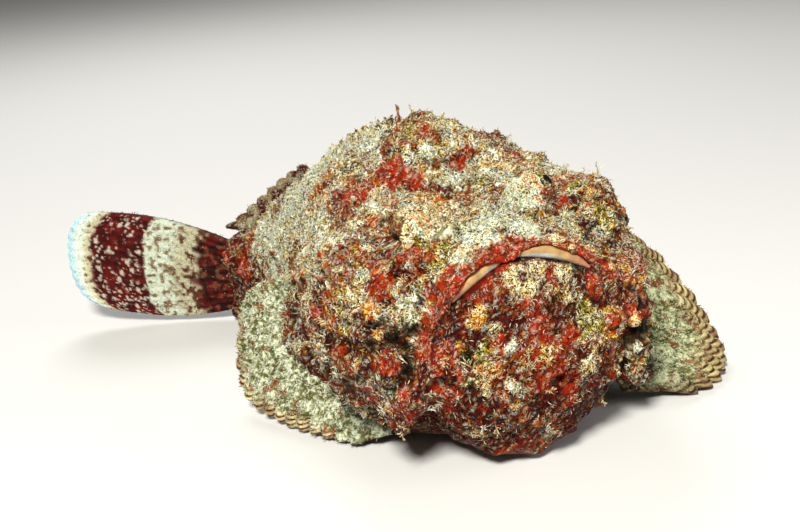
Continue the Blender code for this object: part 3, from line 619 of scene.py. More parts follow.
def refine(mesh):
    """Halves the faces round the eyes and along the mouth."""
    points = points_of(mesh)
    off, off_plane, turn = off_line(points)
    mouth = (np.abs(off) < FINE_ROUND_LINE) & (off_plane < 0.006) & (np.sin(turn) > UPPER_ARCH)
    chosen = set(np.flatnonzero((nearest(points, eye_place) < FINE_ROUND_EYE) | mouth).tolist())
    work = bmesh.new()
    work.from_mesh(mesh)
    edges = [e for e in work.edges if e.verts[0].index in chosen and e.verts[1].index in chosen]
    bmesh.ops.subdivide_edges(work, edges=edges, cuts=1, use_grid_fill=True, smooth=1.0)
    bmesh.ops.triangulate(work, faces=[f for f in work.faces if len(f.verts) > 4])
    work.to_mesh(mesh)
    work.free()


skin_mesh = fused_flesh()


def place_patches(mesh):
    """Where each patch of the photograph falls on the skin: kind, middle and radius."""
    corners = points_of(mesh)
    faces = [tuple(p.vertices) for p in mesh.polygons]
    tree = BVHTree.FromPolygons([Vector(c) for c in corners], faces)
    found = []
    for kind, radius, x, y in PATCHES:
        start, towards = pixel_ray(x, y)
        hit, _, _, depth = tree.ray_cast(start, towards)
        if hit is not None:
            found.append((kind, hit, radius * depth / FOCAL))
    return found


PLACED = place_patches(skin_mesh)


def region_shares(points, normals):
    """How much of each point lies on the top, cheeks, jaw, trunk and tail stalk."""
    along, _ = along_body(points)
    head = faded(*HEAD_ENDS, along + 0.008 * noise(points, 0.010, 7))
    stalk = eased(*STALK_STARTS, along + 0.006 * noise(points, 0.010, 8))
    upper = eased(0.15, 0.75, normals[:, 2]) * eased(*SIDES_END, points[:, 2])
    upper = np.maximum(upper, eased(*TOP_STARTS, points[:, 2]))
    radius, _ = around_mouth(points)
    jaw = faded(*JAW_ENDS, points[:, 1]) * faded(*JAW_EDGE, radius)
    return {
        "top": head * upper * (1.0 - jaw),
        "cheek": head * (1.0 - upper) * (1.0 - jaw),
        "jaw": head * jaw,
        "trunk": (1.0 - head) * (1.0 - stalk),
        "stalk": (1.0 - head) * stalk,
    }


def kind_shares(points, normals):
    """How much of each kind of marking there is at each point of the skin."""
    low = faded(0.014, 0.040, points[:, 2])
    totals = np.zeros((len(points), len(KINDS)))

    def add(marks):
        for kind, amount in marks:
            totals[:, KIND[kind]] += amount

    for region, share in region_shares(points, normals).items():
        start = dict(zip(REGION_KINDS, REGIONS[region]))
        totals += share[:, None] * np.array([start.get(k, ELSEWHERE) for k in KINDS])
    for k in range(len(KINDS)):
        totals[:, k] += 0.80 * noise(points, 0.0125, 11 + 10 * k) + 0.52 * noise(points, 0.0042, 12 + 10 * k)
    # Painted shade: more maroon and rust low on the body, where the light falls off towards the floor.
    add([("maroon", 0.70 * low), ("rust", 0.25 * low)])
    add(furrow_marks(points))
    ragged = 1.0 + 0.45 * noise(points, 0.0045, 5) + 0.38 * noise(points, 0.0019, 6)
    for kind, middle, reach in PLACED:
        share = np.exp(-((away_from(points, middle) * ragged / reach) ** 4) * 0.7)
        totals *= (1.0 - 0.5 * share)[:, None]
        add([(kind, STRONGER.get(kind, PATCH_STRENGTH) * share)])
    add(dome_marks(points))
    add(mouth_marks(points))
    shares = np.exp(KIND_SHARPNESS * (totals - totals.max(axis=1, keepdims=True)))
    return shares / shares.sum(axis=1, keepdims=True)


def mouth_marks(points):
    """The red band of the upper lip with its knob, and maroon and rust in the line between the lips, painted
    shade in that crease.
    """
    off, _, turn = off_line(points)
    front = faded(-0.098, -0.088, points[:, 1])
    arch = front * eased(0.15, 0.45, np.sin(turn))
    lip = arch * eased(0.0004, 0.0014, off) * faded(0.0038, 0.0054, off)
    patchy = noise(points, 0.0050, 101) + 0.5 * noise(points, 0.0020, 102)
    yield "red", 1.55 * lip * (0.85 + 0.35 * patchy)
    yield "maroon", 0.35 * lip * (0.6 - patchy)
    yield "cream", 0.75 * lip * (0.5 - patchy)
    yield "orange", 0.95 * lip * (0.5 + patchy)
    knob = front * bump_at(LIP_DIP_TURN, LIP_DIP_WIDTH * 0.8, turn) * bump_at(0.0022, 0.0026, off)
    yield "red", 3.0 * knob
    # Painted shade: maroon and rust darken the line between the lips.
    between = arch * bump_at(0.0, 0.0009, off)
    yield "maroon", 1.6 * between * (lining_thick(turn) > 0)
    yield "rust", 1.4 * between * (lining_thick(turn) == 0)


def dome_share(points, side):
    """1 on the dome of an eye's turret, within its furrow."""
    return faded(FURROW_AT - 0.0018, FURROW_AT - 0.0006, away_from(points, turret_place(side)))


def outwards(points, side):
    """How far each point is to the outer side of an eye's middle."""
    return side * (points[:, 0] - side * EYE_X)


def pupil_angle(ways, side):
    """The angle between ways from the middle of an eyeball and the way to its pupil."""
    return np.arccos(np.clip(ways @ np.array(PUPIL_WAY[side]), -1.0, 1.0))


def furrow_marks(points):
    """Olive and rust in the furrow round each eye's turret, the skin's colours there laid on as painted
    shade in the crease, near-black painted shadow on its outer side, and a pale network on the dome.
    """
    for side in SIDES:
        ring = bump_at(FURROW_AT, 1.5 * FURROW_WIDTH, away_from(points, turret_place(side)))
        dome = dome_share(points, side)
        patchy = noise(points, 0.006, 121)
        yield "olive", 1.1 * ring * (0.7 + patchy)
        yield "rust", 1.3 * ring * (0.7 - patchy)
        outer = eased(0.0, 0.006, outwards(points, side))
        # Painted shadow: near-black on the furrow's outer side.
        yield "dark", 1.3 * ring * outer * (0.8 + noise(points, 0.004, 122))
        yield "pale", 1.5 * dome
        yield "cream", 1.6 * dome


def dome_marks(points):
    """Rows of orange on the outer half of each eye's dome, one behind another round the pupil."""
    for side in SIDES:
        turned = pupil_angle(unit(points - np.array(eye_place(side))), side)
        wave = 0.5 + 0.5 * np.cos(2 * math.pi * (turned * EYEBALL_RADIUS - FIRST_ROW) / DOME_ROW)
        broken = eased(-0.70, -0.20, noise(points, 0.0045, 123))
        outer = eased(-0.006, 0.000, outwards(points, side))
        yield "orange", 6.5 * dome_share(points, side) * outer * eased(0.60, 0.85, wave) * broken


def share_of(shares, *names):
    """How much of some kinds of marking there is at each point."""
    return sum(shares[:, KIND[n]] for n in names)


def open_lids(points):
    """Folds the skin in round each pupil, with a raised rim, so that the eyeball shows there."""
    for side in SIDES:
        middle = np.array(eye_place(side))
        away = away_from(points, middle)
        way = unit(points - middle)
        angle = pupil_angle(way, side) * (1.0 + 0.07 * noise(way * 0.01, 0.006, 151 + side))
        near = faded(0.0100, 0.0120, away)
        open_part = near * faded(LID_OPENING[side] - LID_EDGE, LID_OPENING[side] + LID_EDGE, angle)
        rim = near * bump_at(LID_OPENING[side] + 0.11, 0.09, angle)
        target = away + LID_RIM * rim
        target = target * (1.0 - open_part) + (EYEBALL_RADIUS - LID_FOLDED_IN) * open_part
        points = middle + way * target[:, None]
    return points


def groove_mouth(points, normals):
    """Opens a groove for the linings, and a thin line beyond them to the mouth's corners."""
    off, off_plane, turn = off_line(points)
    front = faded(0.004, 0.010, off_plane) * eased(0.0, 0.5, -normals[:, 1])
    thick = lining_thick(turn)
    half = np.maximum(LINE_HALF, 0.90 * thick)
    depth = LINE_DEPTH * (0.45 + 0.55 * (thick > 0)) + 1.5 * thick
    depth = depth + 0.0015 * bump_at(LIP_DIP_TURN, math.radians(3.0), turn)
    cut = front * eased(-0.35, 0.0, np.sin(turn)) * faded(0.50, 1.02, np.abs(off) / half)
    points = points.copy()
    points[:, 1] += depth * cut
    return points


def shape_skin(mesh):
    """Draws the skin in by the coat's depth and gives it its folds, warts, pits and grain."""
    points, normals = points_of(mesh), normals_of(mesh)
    shares = kind_shares(points, normals)
    off_floor = eased(0.003, 0.008, points[:, 2])
    lids = faded(0.0072, 0.0092, nearest(points, eye_place))
    height = -GROW - COAT_DEPTH * off_floor * (1.0 - 0.9 * lids)
    free = off_floor * (1.0 - 0.75 * lids)
    off, off_plane, turn = off_line(points)
    at_mouth = faded(0.003, 0.012, off_plane) * eased(-0.35, 0.0, np.sin(turn))
    off_lip = 1.0 - 0.65 * at_mouth * faded(0.0016, 0.0040, np.abs(off - 0.0012))
    near, own, _ = cell_spots(points, *WARTS)
    height += free * off_lip * WART_RISE * own * faded(0.10, 0.55, near)
    near, own, _ = cell_spots(points, *CLUSTERS)
    height += free * off_lip * CLUSTER_RISE * (0.4 + 0.6 * own) * faded(0.15, 0.60, near)
    height += free * FOLD_RISE * rough_noise(points, 0.012, 201)
    height += (0.25 + 0.75 * free) * GRAIN_RISE * noise(points, 0.0022, 203)
    # Pits where the marks are dark, and shallower ones in maroon and olive; the near-black of the dark ones
    # is partly painted shade in the pits.
    height -= free * (0.0034 * share_of(shares, "dark") + 0.0007 * share_of(shares, "maroon", "olive"))
    height += free * (0.0005 * share_of(shares, "pale", "cream") + 0.0012 * share_of(shares, "bare"))
    for side in SIDES:
        off_lid = eased(0.0083, 0.0097, away_from(points, eye_place(side)))
        furrow = bump_at(FURROW_AT, FURROW_WIDTH, away_from(points, turret_place(side)))
        height -= FURROW_DEPTH * off_lid * furrow
    points = points + normals * height[:, None]
    points = open_lids(groove_mouth(points, normals))
    points[:, 2] = np.maximum(points[:, 2], 0.0)
    set_points(mesh, points)
    paint_skin(mesh, points, normals_of(mesh))


def paint_skin(mesh, points, normals):
    """The deep colour of the skin, darker between the raised bursts as painted shade, and the pale one of
    the fine curls over it with their cover.
    """
    rng = np.random.default_rng(SKIN_SEED)
    shares = kind_shares(points, normals)
    near, _, _ = cell_spots(points, *CLUSTERS)
    # Random mottling, and painted shade: the skin darker away from the raised bursts, in the hollows between
    # them.
    mottle_and_gap_shade = (1.0 + 0.25 * rough_noise(points, 0.0028, 301)) * (1.10 - 0.45 * eased(0.35, 0.65, near))
    under = eased(0.45, 0.9, -normals[:, 2])[:, None]
    deep = shares @ KIND_SKIN * mottle_and_gap_shade[:, None]
    paint(mesh, deep * (1 - 0.7 * under) + np.array(BELLY) * 0.7 * under)
    chosen = draw_classes(shares, rng.random(len(points)))
    cover = 0.75 - 0.50 * share_of(shares, "red", "maroon", "rust") - 0.75 * share_of(shares, "dark", "bare")
    cover *= 1.0 - 0.6 * under[:, 0]
    off, _, turn = off_line(points)
    in_groove = (np.abs(off) < LINE_HALF + lining_thick(turn)) & (np.sin(turn) > UPPER_ARCH)
    cover = np.where(in_groove & (points[:, 1] < MOUTH_FRONT), 0.0, cover)
    paint(mesh, TUFT_PALETTE[chosen], "Crest", np.clip(cover, 0.0, 1.0))


def draw_classes(shares, draw):
    """The number of a tuft's colour at each point, for a draw from 0 to 1 by its kinds of marking."""
    chances = np.cumsum(shares @ TUFT_SHARES, axis=1)
    return (chances < np.clip(draw, 0.0, 0.9999)[:, None] * chances[:, -1:]).sum(axis=1)


shape_skin(skin_mesh)


# Coat: thin bent filaments rooted in the skin

RING_PLACES = np.arange(TUFT_RINGS) / (TUFT_RINGS - 0.2)
TUFT_POINTS = TUFT_SIDES * TUFT_RINGS + 1


def tuft_faces(count):
    """Quads between the rings and a three-sided tip, for each tuft."""
    quads, tips = [], []
    for j in range(TUFT_SIDES):
        k = (j + 1) % TUFT_SIDES
        for i in range(TUFT_RINGS - 1):
            a, b = i * TUFT_SIDES, (i + 1) * TUFT_SIDES
            quads.append((a + j, a + k, b + k, b + j))
        last = (TUFT_RINGS - 1) * TUFT_SIDES
        tips.append((last + j, last + k, TUFT_POINTS - 1))
    base = (np.arange(count) * TUFT_POINTS)[:, None, None]
    return (base + np.array(quads)).reshape(-1, 4), (base + np.array(tips)).reshape(-1, 3)


def tuft_points(tufts):
    """Rings of points along an arc that starts at each root."""
    root, out, side = tufts["root"], tufts["out"], tufts["side"]
    length, curl, thick = tufts["length"][:, None], tufts["curl"][:, None], tufts["thick"][:, None]
    across = np.cross(out, side)
    rows = []
    for at in RING_PLACES:
        angle = curl * at
        middle = root + length / curl * (out * np.sin(angle) + side * (1.0 - np.cos(angle)))
        inward = side * np.cos(angle) - out * np.sin(angle)
        width = 1.0 - 0.45 * at**2
        for j in range(TUFT_SIDES):
            turn = 2.0 * math.pi * j / TUFT_SIDES
            rows.append(middle + thick * width * (across * math.cos(turn) + inward * math.sin(turn)))
    rows.append(root + length / curl * (out * np.sin(curl) + side * (1.0 - np.cos(curl))))
    points = np.stack(rows, axis=1).reshape(-1, 3)
    points[:, 2] = np.maximum(points[:, 2], TUFT_OFF_FLOOR)
    return points


def add_coat(name, tufts):
    """Makes the tufts as a few pieces, each spread over the whole of the skin."""
    count = math.ceil(len(tufts["root"]) * TUFT_SIDES * (2 * TUFT_RINGS - 1) / PIECE_TRIANGLES)
    for k in range(count):
        part = {key: value[k::count] for key, value in tufts.items()}
        quads, tips = tuft_faces(len(part["root"]))
        mesh = new_mesh(f"{name}_{k + 1}", tuft_points(part), quads, tips)
        share = np.append(np.repeat(RING_PLACES, TUFT_SIDES), 1.0)
        base, tip = part["base_colour"][:, None, :], part["tip_colour"][:, None, :]
        # From the root to the tip: the root end darker, as painted shade low in the coat.
        colours = base + (tip - base) * (share[None, :, None] ** 0.75)
        paint(mesh, colours.reshape(-1, 3))
        corner = np.concatenate([quads.ravel(), tips.ravel()])
        own, place = corner // TUFT_POINTS, corner % TUFT_POINTS
        across = np.where(place == TUFT_POINTS - 1, 0.5, (place % TUFT_SIDES) / TUFT_SIDES)
        uv = part["map"][own] + PATCH_ON_MAP * (np.stack([across, share[place]], axis=1) - 0.5)
        layer = mesh.uv_layers.new(name="OFBake")
        layer.data.foreach_set("uv", uv.astype(np.float32).ravel())
        add_piece(f"{name}_{k + 1}", mesh, COAT)


def on_map(points, normals):
    """An unwrap of the skin's own shape: rounds of the body, and the face laid flat beside them."""
    along, side = along_body(points)
    turn = np.arctan2(points[:, 2] - MAP_MIDDLE, side) / (2 * math.pi) + 0.5
    share = np.clip(along / (FISH_LENGTH + 0.01), 0, 1)
    rounds = np.stack([0.02 + 0.60 * share, 0.02 + 0.96 * turn], axis=1)
    face = np.stack([0.66 + 0.32 * (points[:, 0] + 0.065) / 0.13, 0.05 + 0.5 * points[:, 2] / 0.1], axis=1)
    facing = (normals[:, 1] < -0.75) & (along < 0.03)
    return np.where(facing[:, None], face, rounds)


def roots_on_skin(mesh, rng):
    """Points spread evenly over the skin where tufts grow, with the normals there."""
    mesh.calc_loop_triangles()
    corners = np.empty(len(mesh.loop_triangles) * 3, np.int32)
    mesh.loop_triangles.foreach_get("vertices", corners)
    corners = corners.reshape(-1, 3)
    points, normals = points_of(mesh), normals_of(mesh)
    a, b, c = (points[corners[:, k]] for k in range(3))
    area = 0.5 * np.linalg.norm(np.cross(b - a, c - a), axis=1)
    tries = int(area.sum() / TUFT_SPACING**2 * 5.0)
    chosen = rng.choice(len(area), size=tries, p=area / area.sum())
    s, t = rng.random(tries), rng.random(tries)
    flip = s + t > 1.0
    s, t = np.where(flip, 1 - s, s)[:, None], np.where(flip, 1 - t, t)[:, None]
    found = a[chosen] * (1 - s - t) + b[chosen] * s + c[chosen] * t
    na, nb, nc = (normals[corners[chosen, k]] for k in range(3))
    facing = unit(na * (1 - s - t) + nb * s + nc * t)
    cells = np.floor(found / TUFT_SPACING).astype(np.int64)
    key = cells[:, 0] * 4000037 + cells[:, 1] * 2003 + cells[:, 2]
    _, first = np.unique(key, return_index=True)
    first = np.sort(first)
    found, facing = found[first], facing[first]
    kept = keep_on_skin(found, facing, rng)
    return found[kept], facing[kept]


def flattened(ways, normals):
    """Unit ways with what they have of the normals taken away."""
    return unit(ways - normals * (ways * normals).sum(axis=1)[:, None])


def grow_tufts(points, normals, length, thick, curl, towards, rng):
    """Roots, directions and bends of tufts that lean towards a direction of their own."""
    count = len(points)
    out = unit(towards + 0.55 * unit(rng.normal(size=(count, 3))))
    inside = (out * normals).sum(axis=1)
    out = unit(out + normals * np.maximum(0.0, 0.22 - inside)[:, None])
    flat = unit(np.cross(out, normals)) * np.where(rng.random(count) < 0.5, -1.0, 1.0)[:, None]
    side = flattened(flat + 0.55 * unit(rng.normal(size=(count, 3))), out)
    return {
        "root": points - normals * TUFT_ROOT_DEPTH,
        "out": out,
        "side": side,
        "length": length,
        "curl": curl,
        "thick": thick,
        "map": on_map(points, normals),
    }


def choose_colours(shares, draw, rng):
    """A tip colour for each tuft, and a root colour that is the skin's colour there, darkened as painted
    shade low in the coat.
    """
    tip = TUFT_PALETTE[draw_classes(shares, draw)] * rng.uniform(0.84, 1.06, len(shares))[:, None]
    return 0.16 * tip + 0.60 * (shares @ KIND_SKIN), tip


def join_tufts(groups):
    """The tufts of several groups as one."""
    return {key: np.concatenate([g[key] for g in groups]) for key in groups[0]}


def keep_on_skin(points, normals, rng):
    """Which points get a tuft: fewer in red and dark places, between bursts and low on the body."""
    off, off_plane, turn = off_line(points)
    in_line = (off_plane < 0.007) & (np.sin(turn) > UPPER_ARCH)
    in_line &= np.abs(off) < np.maximum(LINE_HALF, 0.80 * lining_thick(turn))
    shares = kind_shares(points, normals)
    near, _, _ = cell_spots(points, *CLUSTERS)
    bare = share_of(shares, "bare") > 0.4
    ball = nearest(points, eye_place) < EYEBALL_RADIUS + 0.0003
    chance = 0.45 + 0.55 * eased(0.004, 0.015, points[:, 2])
    chance *= 1.0 - 0.75 * eased(0.4, 0.85, -normals[:, 2])
    maroon, dark = share_of(shares, "maroon"), share_of(shares, "dark")
    chance *= 1.0 - 0.35 * share_of(shares, "red", "rust") - 0.5 * maroon - 0.85 * dark
    chance *= 1.0 - 0.55 * eased(0.40, 0.70, near)
    lucky = rng.random(len(points)) < chance
    return lucky & ~in_line & ~bare & ~ball & (points[:, 2] > LOWEST_TUFT)


def coat_of_skin():
    """Filaments in bursts, each burst much of one colour, some between the bursts darkened as painted shade,
    and branched tassels among them.
    """
    rng = np.random.default_rng(COAT_SEED)
    points, normals = roots_on_skin(skin_mesh, rng)
    count = len(points)
    shares = kind_shares(points + 0.0010 * rng.normal(size=points.shape), normals)
    near, own, offset = cell_spots(points, *CLUSTERS)
    tight, single, outward = cell_spots(points, *FLORETS)
    along, _ = along_body(points)
    off, _, _ = off_line(points)
    length = TUFT_LENGTH * rng.uniform(0.5, 1.35, count) * (1.25 - 0.5 * near) * (1.2 - 0.4 * tight)
    length *= 1.0 + 0.25 * share_of(shares, "pale")
    length *= 1.0 - 0.35 * faded(0.009, 0.013, nearest(points, eye_place))
    lip = (points[:, 1] < LIP_FRONT) & (np.abs(off - 0.0020) < 0.0050)
    length *= np.where(lip, 0.55, 1.0)
    length *= 1.0 - 0.20 * eased(0.10, 0.15, along)
    length *= np.clip(0.35 + points[:, 2] / 0.02, 0.35, 1.0)
    thick = TUFT_THICK * rng.uniform(0.75, 1.25, count)
    curl = rng.uniform(0.5, 3.4, count)
    heading = np.interp(along, STATIONS, SPINE[:, 2])
    lie = np.stack([-np.sin(heading), np.cos(heading), np.full(count, -0.35)], axis=1)
    radial, spread = flattened(offset, normals), flattened(outward, normals)
    towards = 0.80 * normals + 0.30 * radial * eased(0.0, 0.3, near)[:, None] + 0.12 * lie
    towards = towards + 0.50 * spread * eased(0.0, 0.3, tight)[:, None]
    tufts = grow_tufts(points, normals, length, thick, curl, towards, rng)
    draw = np.where(single < 0.45, single / 0.45, np.abs(own + 0.15 * rng.normal(size=count)))
    draw = np.where(rng.random(count) < 0.15, rng.random(count), draw)
    tufts["base_colour"], tufts["tip_colour"] = choose_colours(shares, draw, rng)
    # Painted shade: tufts between the bursts and florets take the skin's colour, darkened.
    dome = faded(FURROW_AT - 0.0020, FURROW_AT - 0.0006, nearest(points, turret_place))
    open_share = 1.0 - 0.6 * dome - 0.50 * share_of(shares, "pale", "sage")
    gap = 0.08 + 0.48 * eased(0.30, 0.62, near) + 0.70 * eased(0.38, 0.66, tight)
    shaded_in_gap = rng.random(count) < gap * open_share
    deep = shares @ KIND_SKIN * rng.uniform(0.2, 1.1, count)[:, None]
    tufts["tip_colour"] = np.where(shaded_in_gap[:, None], deep, tufts["tip_colour"])
    tufts["base_colour"] = np.where(shaded_in_gap[:, None], deep * 0.7, tufts["base_colour"])
    tufts["length"] = length * (0.74 + 0.56 * eased(0.30, 0.80, tufts["tip_colour"].mean(axis=1)))
    return join_tufts([tufts, tassels(points, normals, rng)])


def tassels(points, normals, rng):
    """Branched flaps, most of them along the head's upper edges, the cheeks and the chin."""
    along, _ = along_body(points)
    weight = np.where((along < 0.12) & (points[:, 2] > 0.008) & (normals[:, 2] > -0.6), 1.0, 0.15)
    off, _, turn = off_line(points)
    in_mouth = (np.abs(off) < 0.006) & (points[:, 1] < MOUTH_FRONT) & (np.sin(turn) > 0.0)
    weight *= (nearest(points, eye_place) > 0.012) & ~in_mouth
    chosen = rng.choice(len(points), size=TASSELS, replace=False, p=weight / weight.sum())
    root, normal = points[chosen], normals[chosen]
    way = unit(normal + 0.55 * unit(rng.normal(size=(TASSELS, 3))) + (0, 0, 0.1))
    long = rng.uniform(*TASSEL_LENGTHS, TASSELS)
    tip = np.tile(TUFT_PALETTE[:2], (TASSELS, 1))[rng.permutation(2 * TASSELS)[:TASSELS]]
    parts = []
    for k in range(TASSEL_BRANCHES + 1):
        at = 0.25 + 0.75 * k / TASSEL_BRANCHES if k < TASSEL_BRANCHES else 0.0
        start = root + way * (long * at)[:, None]
        if k < TASSEL_BRANCHES:
            sideways = unit(np.cross(way, unit(rng.normal(size=(TASSELS, 3)))))
            towards, length, thick = 0.9 * way + sideways, long * (0.50 - 0.20 * at), BRANCH_THICK
        else:
            towards, length, thick = 3.0 * way, long * 1.05, STEM_THICK
        thick, curl = np.full(TASSELS, thick), rng.uniform(0.3, 1.5, TASSELS)
        part = grow_tufts(start, normal, length, thick, curl, towards, rng)
        part["map"] = on_map(root, normal)
        part["tip_colour"] = tip * rng.uniform(0.88, 1.04, TASSELS)[:, None]
        # The root end darker and warmer, as painted shade low in the coat.
        part["base_colour"] = part["tip_colour"] * (0.55, 0.42, 0.32)
        parts.append(part)
    return join_tufts(parts)


add_coat("coat", coat_of_skin())
add_piece("skin", skin_mesh, SKIN, FLESH)


# Fins: fans of rays, the same as the solids' but finer

def through(points):
    """A smooth line through a few points, as a function of 0 to 1."""
    places = [Vector(p) for p in points]

    def line(u):
        x = u * (len(places) - 1)
        i = min(int(x), len(places) - 2)
        t = x - i
        before = places[i - 1] if i else 2 * places[0] - places[1]
        after = places[i + 2] if i + 2 < len(places) else 2 * places[-1] - places[-2]
        a, b = places[i], places[i + 1]
        return 0.5 * (
            2 * a + (b - before) * t + (2 * before - 5 * a + 4 * b - after) * t**2
            + (3 * a - before - 3 * b + after) * t**3
        )

    return line


def across_grid(spots):
    """The ways across a grid of points, as long as its cells are large."""
    return np.cross(np.gradient(spots, axis=0), np.gradient(spots, axis=1))


class Fin:
    """A fan of rays from a root line to a tip line, with webs that are cut back between the tips.

    beads are the rows of swellings along each ray, where they start, and their height. Tufts thin
    out beyond bald, and pale is the share of them that are white or cream whatever the fin's colour.
    corner draws in the last rays, at the end of the tip line.
    """

    def __init__(self, name, root, tip, rays, bow, thick=(0.0028, 0.0011), ridge=0.0005, scallop=0.12,
                 columns=9, rows=30, flutter=0.0006, beads=(1, 2.0, 0.0), bald=2.0, pale=0.40, corner=False):
        self.name, self.root, self.tip, self.rays, self.bow = name, root, tip, rays, bow
        self.thick, self.ridge, self.scallop, self.beads = thick, ridge, scallop, beads
        self.columns, self.rows, self.flutter = rays * columns + 1, rows, flutter
        self.bald, self.pale, self.corner = bald, pale, corner

    def ray_share(self, u):
        """1 on a ray, 0 in the middle of the web between two."""
        return (0.5 + 0.5 * np.cos(2 * math.pi * (u * self.rays - 0.5))) ** 1.3

    def tip_share(self, u):
        """The same at the tips, which are broad and rounded."""
        return 1.0 - np.abs(2.0 * ((u * self.rays) % 1.0) - 1.0) ** 2.2

    def grid(self):
        """The share along the root line, the share from root to tip, and the middle of the web."""
        u = np.linspace(0.0, 1.0, self.columns)
        v = np.linspace(0.0, 1.0, self.rows)
        root = np.array([self.root(x) for x in u])
        tip = np.array([self.tip(x) for x in u])
        bow = np.array([self.bow(x) for x in u])
        share = self.tip_share(u)[:, None]
        reach = v[None, :] * (drawn_in(u)[:, None] if self.corner else 1.0)
        reach = reach * (1.0 - self.scallop * (1.0 - share) * v[None, :] ** 2)
        spots = root[:, None, :] + (tip - root)[:, None, :] * reach[:, :, None]
        spots = spots + bow[:, None, :] * (4.0 * v * (1.0 - v))[None, :, None]
        u, v = np.meshgrid(u, v, indexing="ij")
        return u, v, spots

    def build(self):
        """Two faces and the edge between them. Keeps the upper face for the coat."""
        u, v, spots = self.grid()
        normal = unit(across_grid(spots))
        if normal[..., 2].mean() < 0:
            normal = -normal
        flat = spots.reshape(-1, 3)
        width = self.thick[0] + (self.thick[1] - self.thick[0]) * v
        width = width + 2.0 * self.ridge * self.ray_share(u) * (1.0 - 0.35 * v)
        rows, first, height = self.beads
        swelling = crescents(u.ravel(), v.ravel(), self.rays, rows, BEAD_SEED).reshape(v.shape)
        first = first + bead_delay(u)
        width = width + 2.0 * height * swelling * eased(first - 0.08, first + 0.08, v)
        width = width * (1.0 - 0.80 * eased(0.955, 1.0, v) ** 2)
        wave = self.flutter * rough_noise(flat, 0.007, 401).reshape(v.shape) * eased(0.2, 0.9, v)
        grain = FIN_GRAIN * noise(flat, 0.0014, 402).reshape(v.shape)
        upper = spots + normal * (width / 2 + wave + grain)[..., None]
        lower = spots - normal * (width / 2 - wave + grain)[..., None]
        for side in (upper, lower):
            side[..., 2] = np.maximum(side[..., 2], 0.0)
        rows, columns = self.rows, self.columns
        index = np.arange(columns * rows).reshape(columns, rows)
        a, b, c, d = (x.ravel() for x in (index[:-1, :-1], index[1:, :-1], index[1:, 1:], index[:-1, 1:]))
        top = np.stack([a, b, c, d], axis=1)
        rim = np.concatenate([index[:, 0], index[-1, 1:], index[-2::-1, -1], index[0, -2:0:-1]])
        shift = columns * rows
        following = np.roll(rim, -1)
        edge = np.stack([following, rim, rim + shift, following + shift], axis=1)
        quads = np.concatenate([top, top[:, ::-1] + shift, edge])
        if (across_grid(upper) * normal).sum() < 0:
            quads = quads[:, ::-1]
        self.u, self.v, self.upper, self.lower, self.normal = u.ravel(), v.ravel(), upper, lower, normal
        return new_mesh(self.name, np.concatenate([upper.reshape(-1, 3), lower.reshape(-1, 3)]), quads)


def blend_colours(pairs):
    """Mixes colours by weights that are arrays of one length."""
    total = sum(w for _, w in pairs)
    return sum(np.array(c)[None, :] * (w / np.maximum(total, 1e-9))[:, None] for c, w in pairs)


WHITE, CREAM, CHALK, SAND = (0.92, 0.95, 0.85), (0.86, 0.81, 0.60), (0.86, 0.90, 0.80), (0.78, 0.76, 0.62)
TAN, BROWN, FLECK = (0.66, 0.45, 0.26), (0.28, 0.10, 0.04), (0.45, 0.30, 0.16)
DARK_RED, DEEP_MAROON, BLOOD = (0.24, 0.022, 0.018), (0.14, 0.02, 0.012), (0.38, 0.04, 0.02)
RIM, ICE, WEB_BLOOM = (0.76, 0.80, 0.74), (0.62, 0.76, 0.80), (0.74, 0.76, 0.64)
# The second colour here is the fins' olive-brown, darkened as painted shade for the gaps between the fuzz.
FUZZ, FUZZ_GAP_SHADE = (0.94, 0.97, 0.82), (0.38, 0.37, 0.19)
FUZZ_BROWN, FUZZ_GREEN = (0.50, 0.25, 0.12), (0.24, 0.32, 0.08)
TAIL_RAYS, TAIL_LENGTH = 12, 0.080
TAIL_BANDS = ((0.38, 0.46), (0.575, 0.590), (0.862, 0.885), (0.910, 0.935))   # from root to tip
BREAST_RAYS, BEAD_SEED = 15, 81
FIN_GRAIN = 0.00018


def mixed(under, over, share):
    """Lays one colour over another by a share at each point."""
    share = np.asarray(share)[:, None]
    return np.asarray(under) * (1.0 - share) + np.asarray(over) * share


def dots(u, v, rays, rows, size, spread, reach, seed):
    """Round dots about size in radius, one to a ray in each row, on a fin spread by reach in size."""
    x, y = u * rays, v * rows + 0.5 * (np.floor(u * rays) % 2)
    cell = np.stack([np.floor(x), np.floor(y), np.zeros_like(x)], axis=1).astype(np.int64)
    across = ((x % 1.0) - 0.5 + 0.45 * (scramble(cell, seed) - 0.5)) * spread / rays
    along = ((y % 1.0) - 0.5 + 0.45 * (scramble(cell, seed + 1) - 0.5)) * reach / rows
    radius = size * (0.6 + 0.8 * scramble(cell, seed + 2))
    return faded(0.7, 1.25, np.hypot(across, along) / radius)


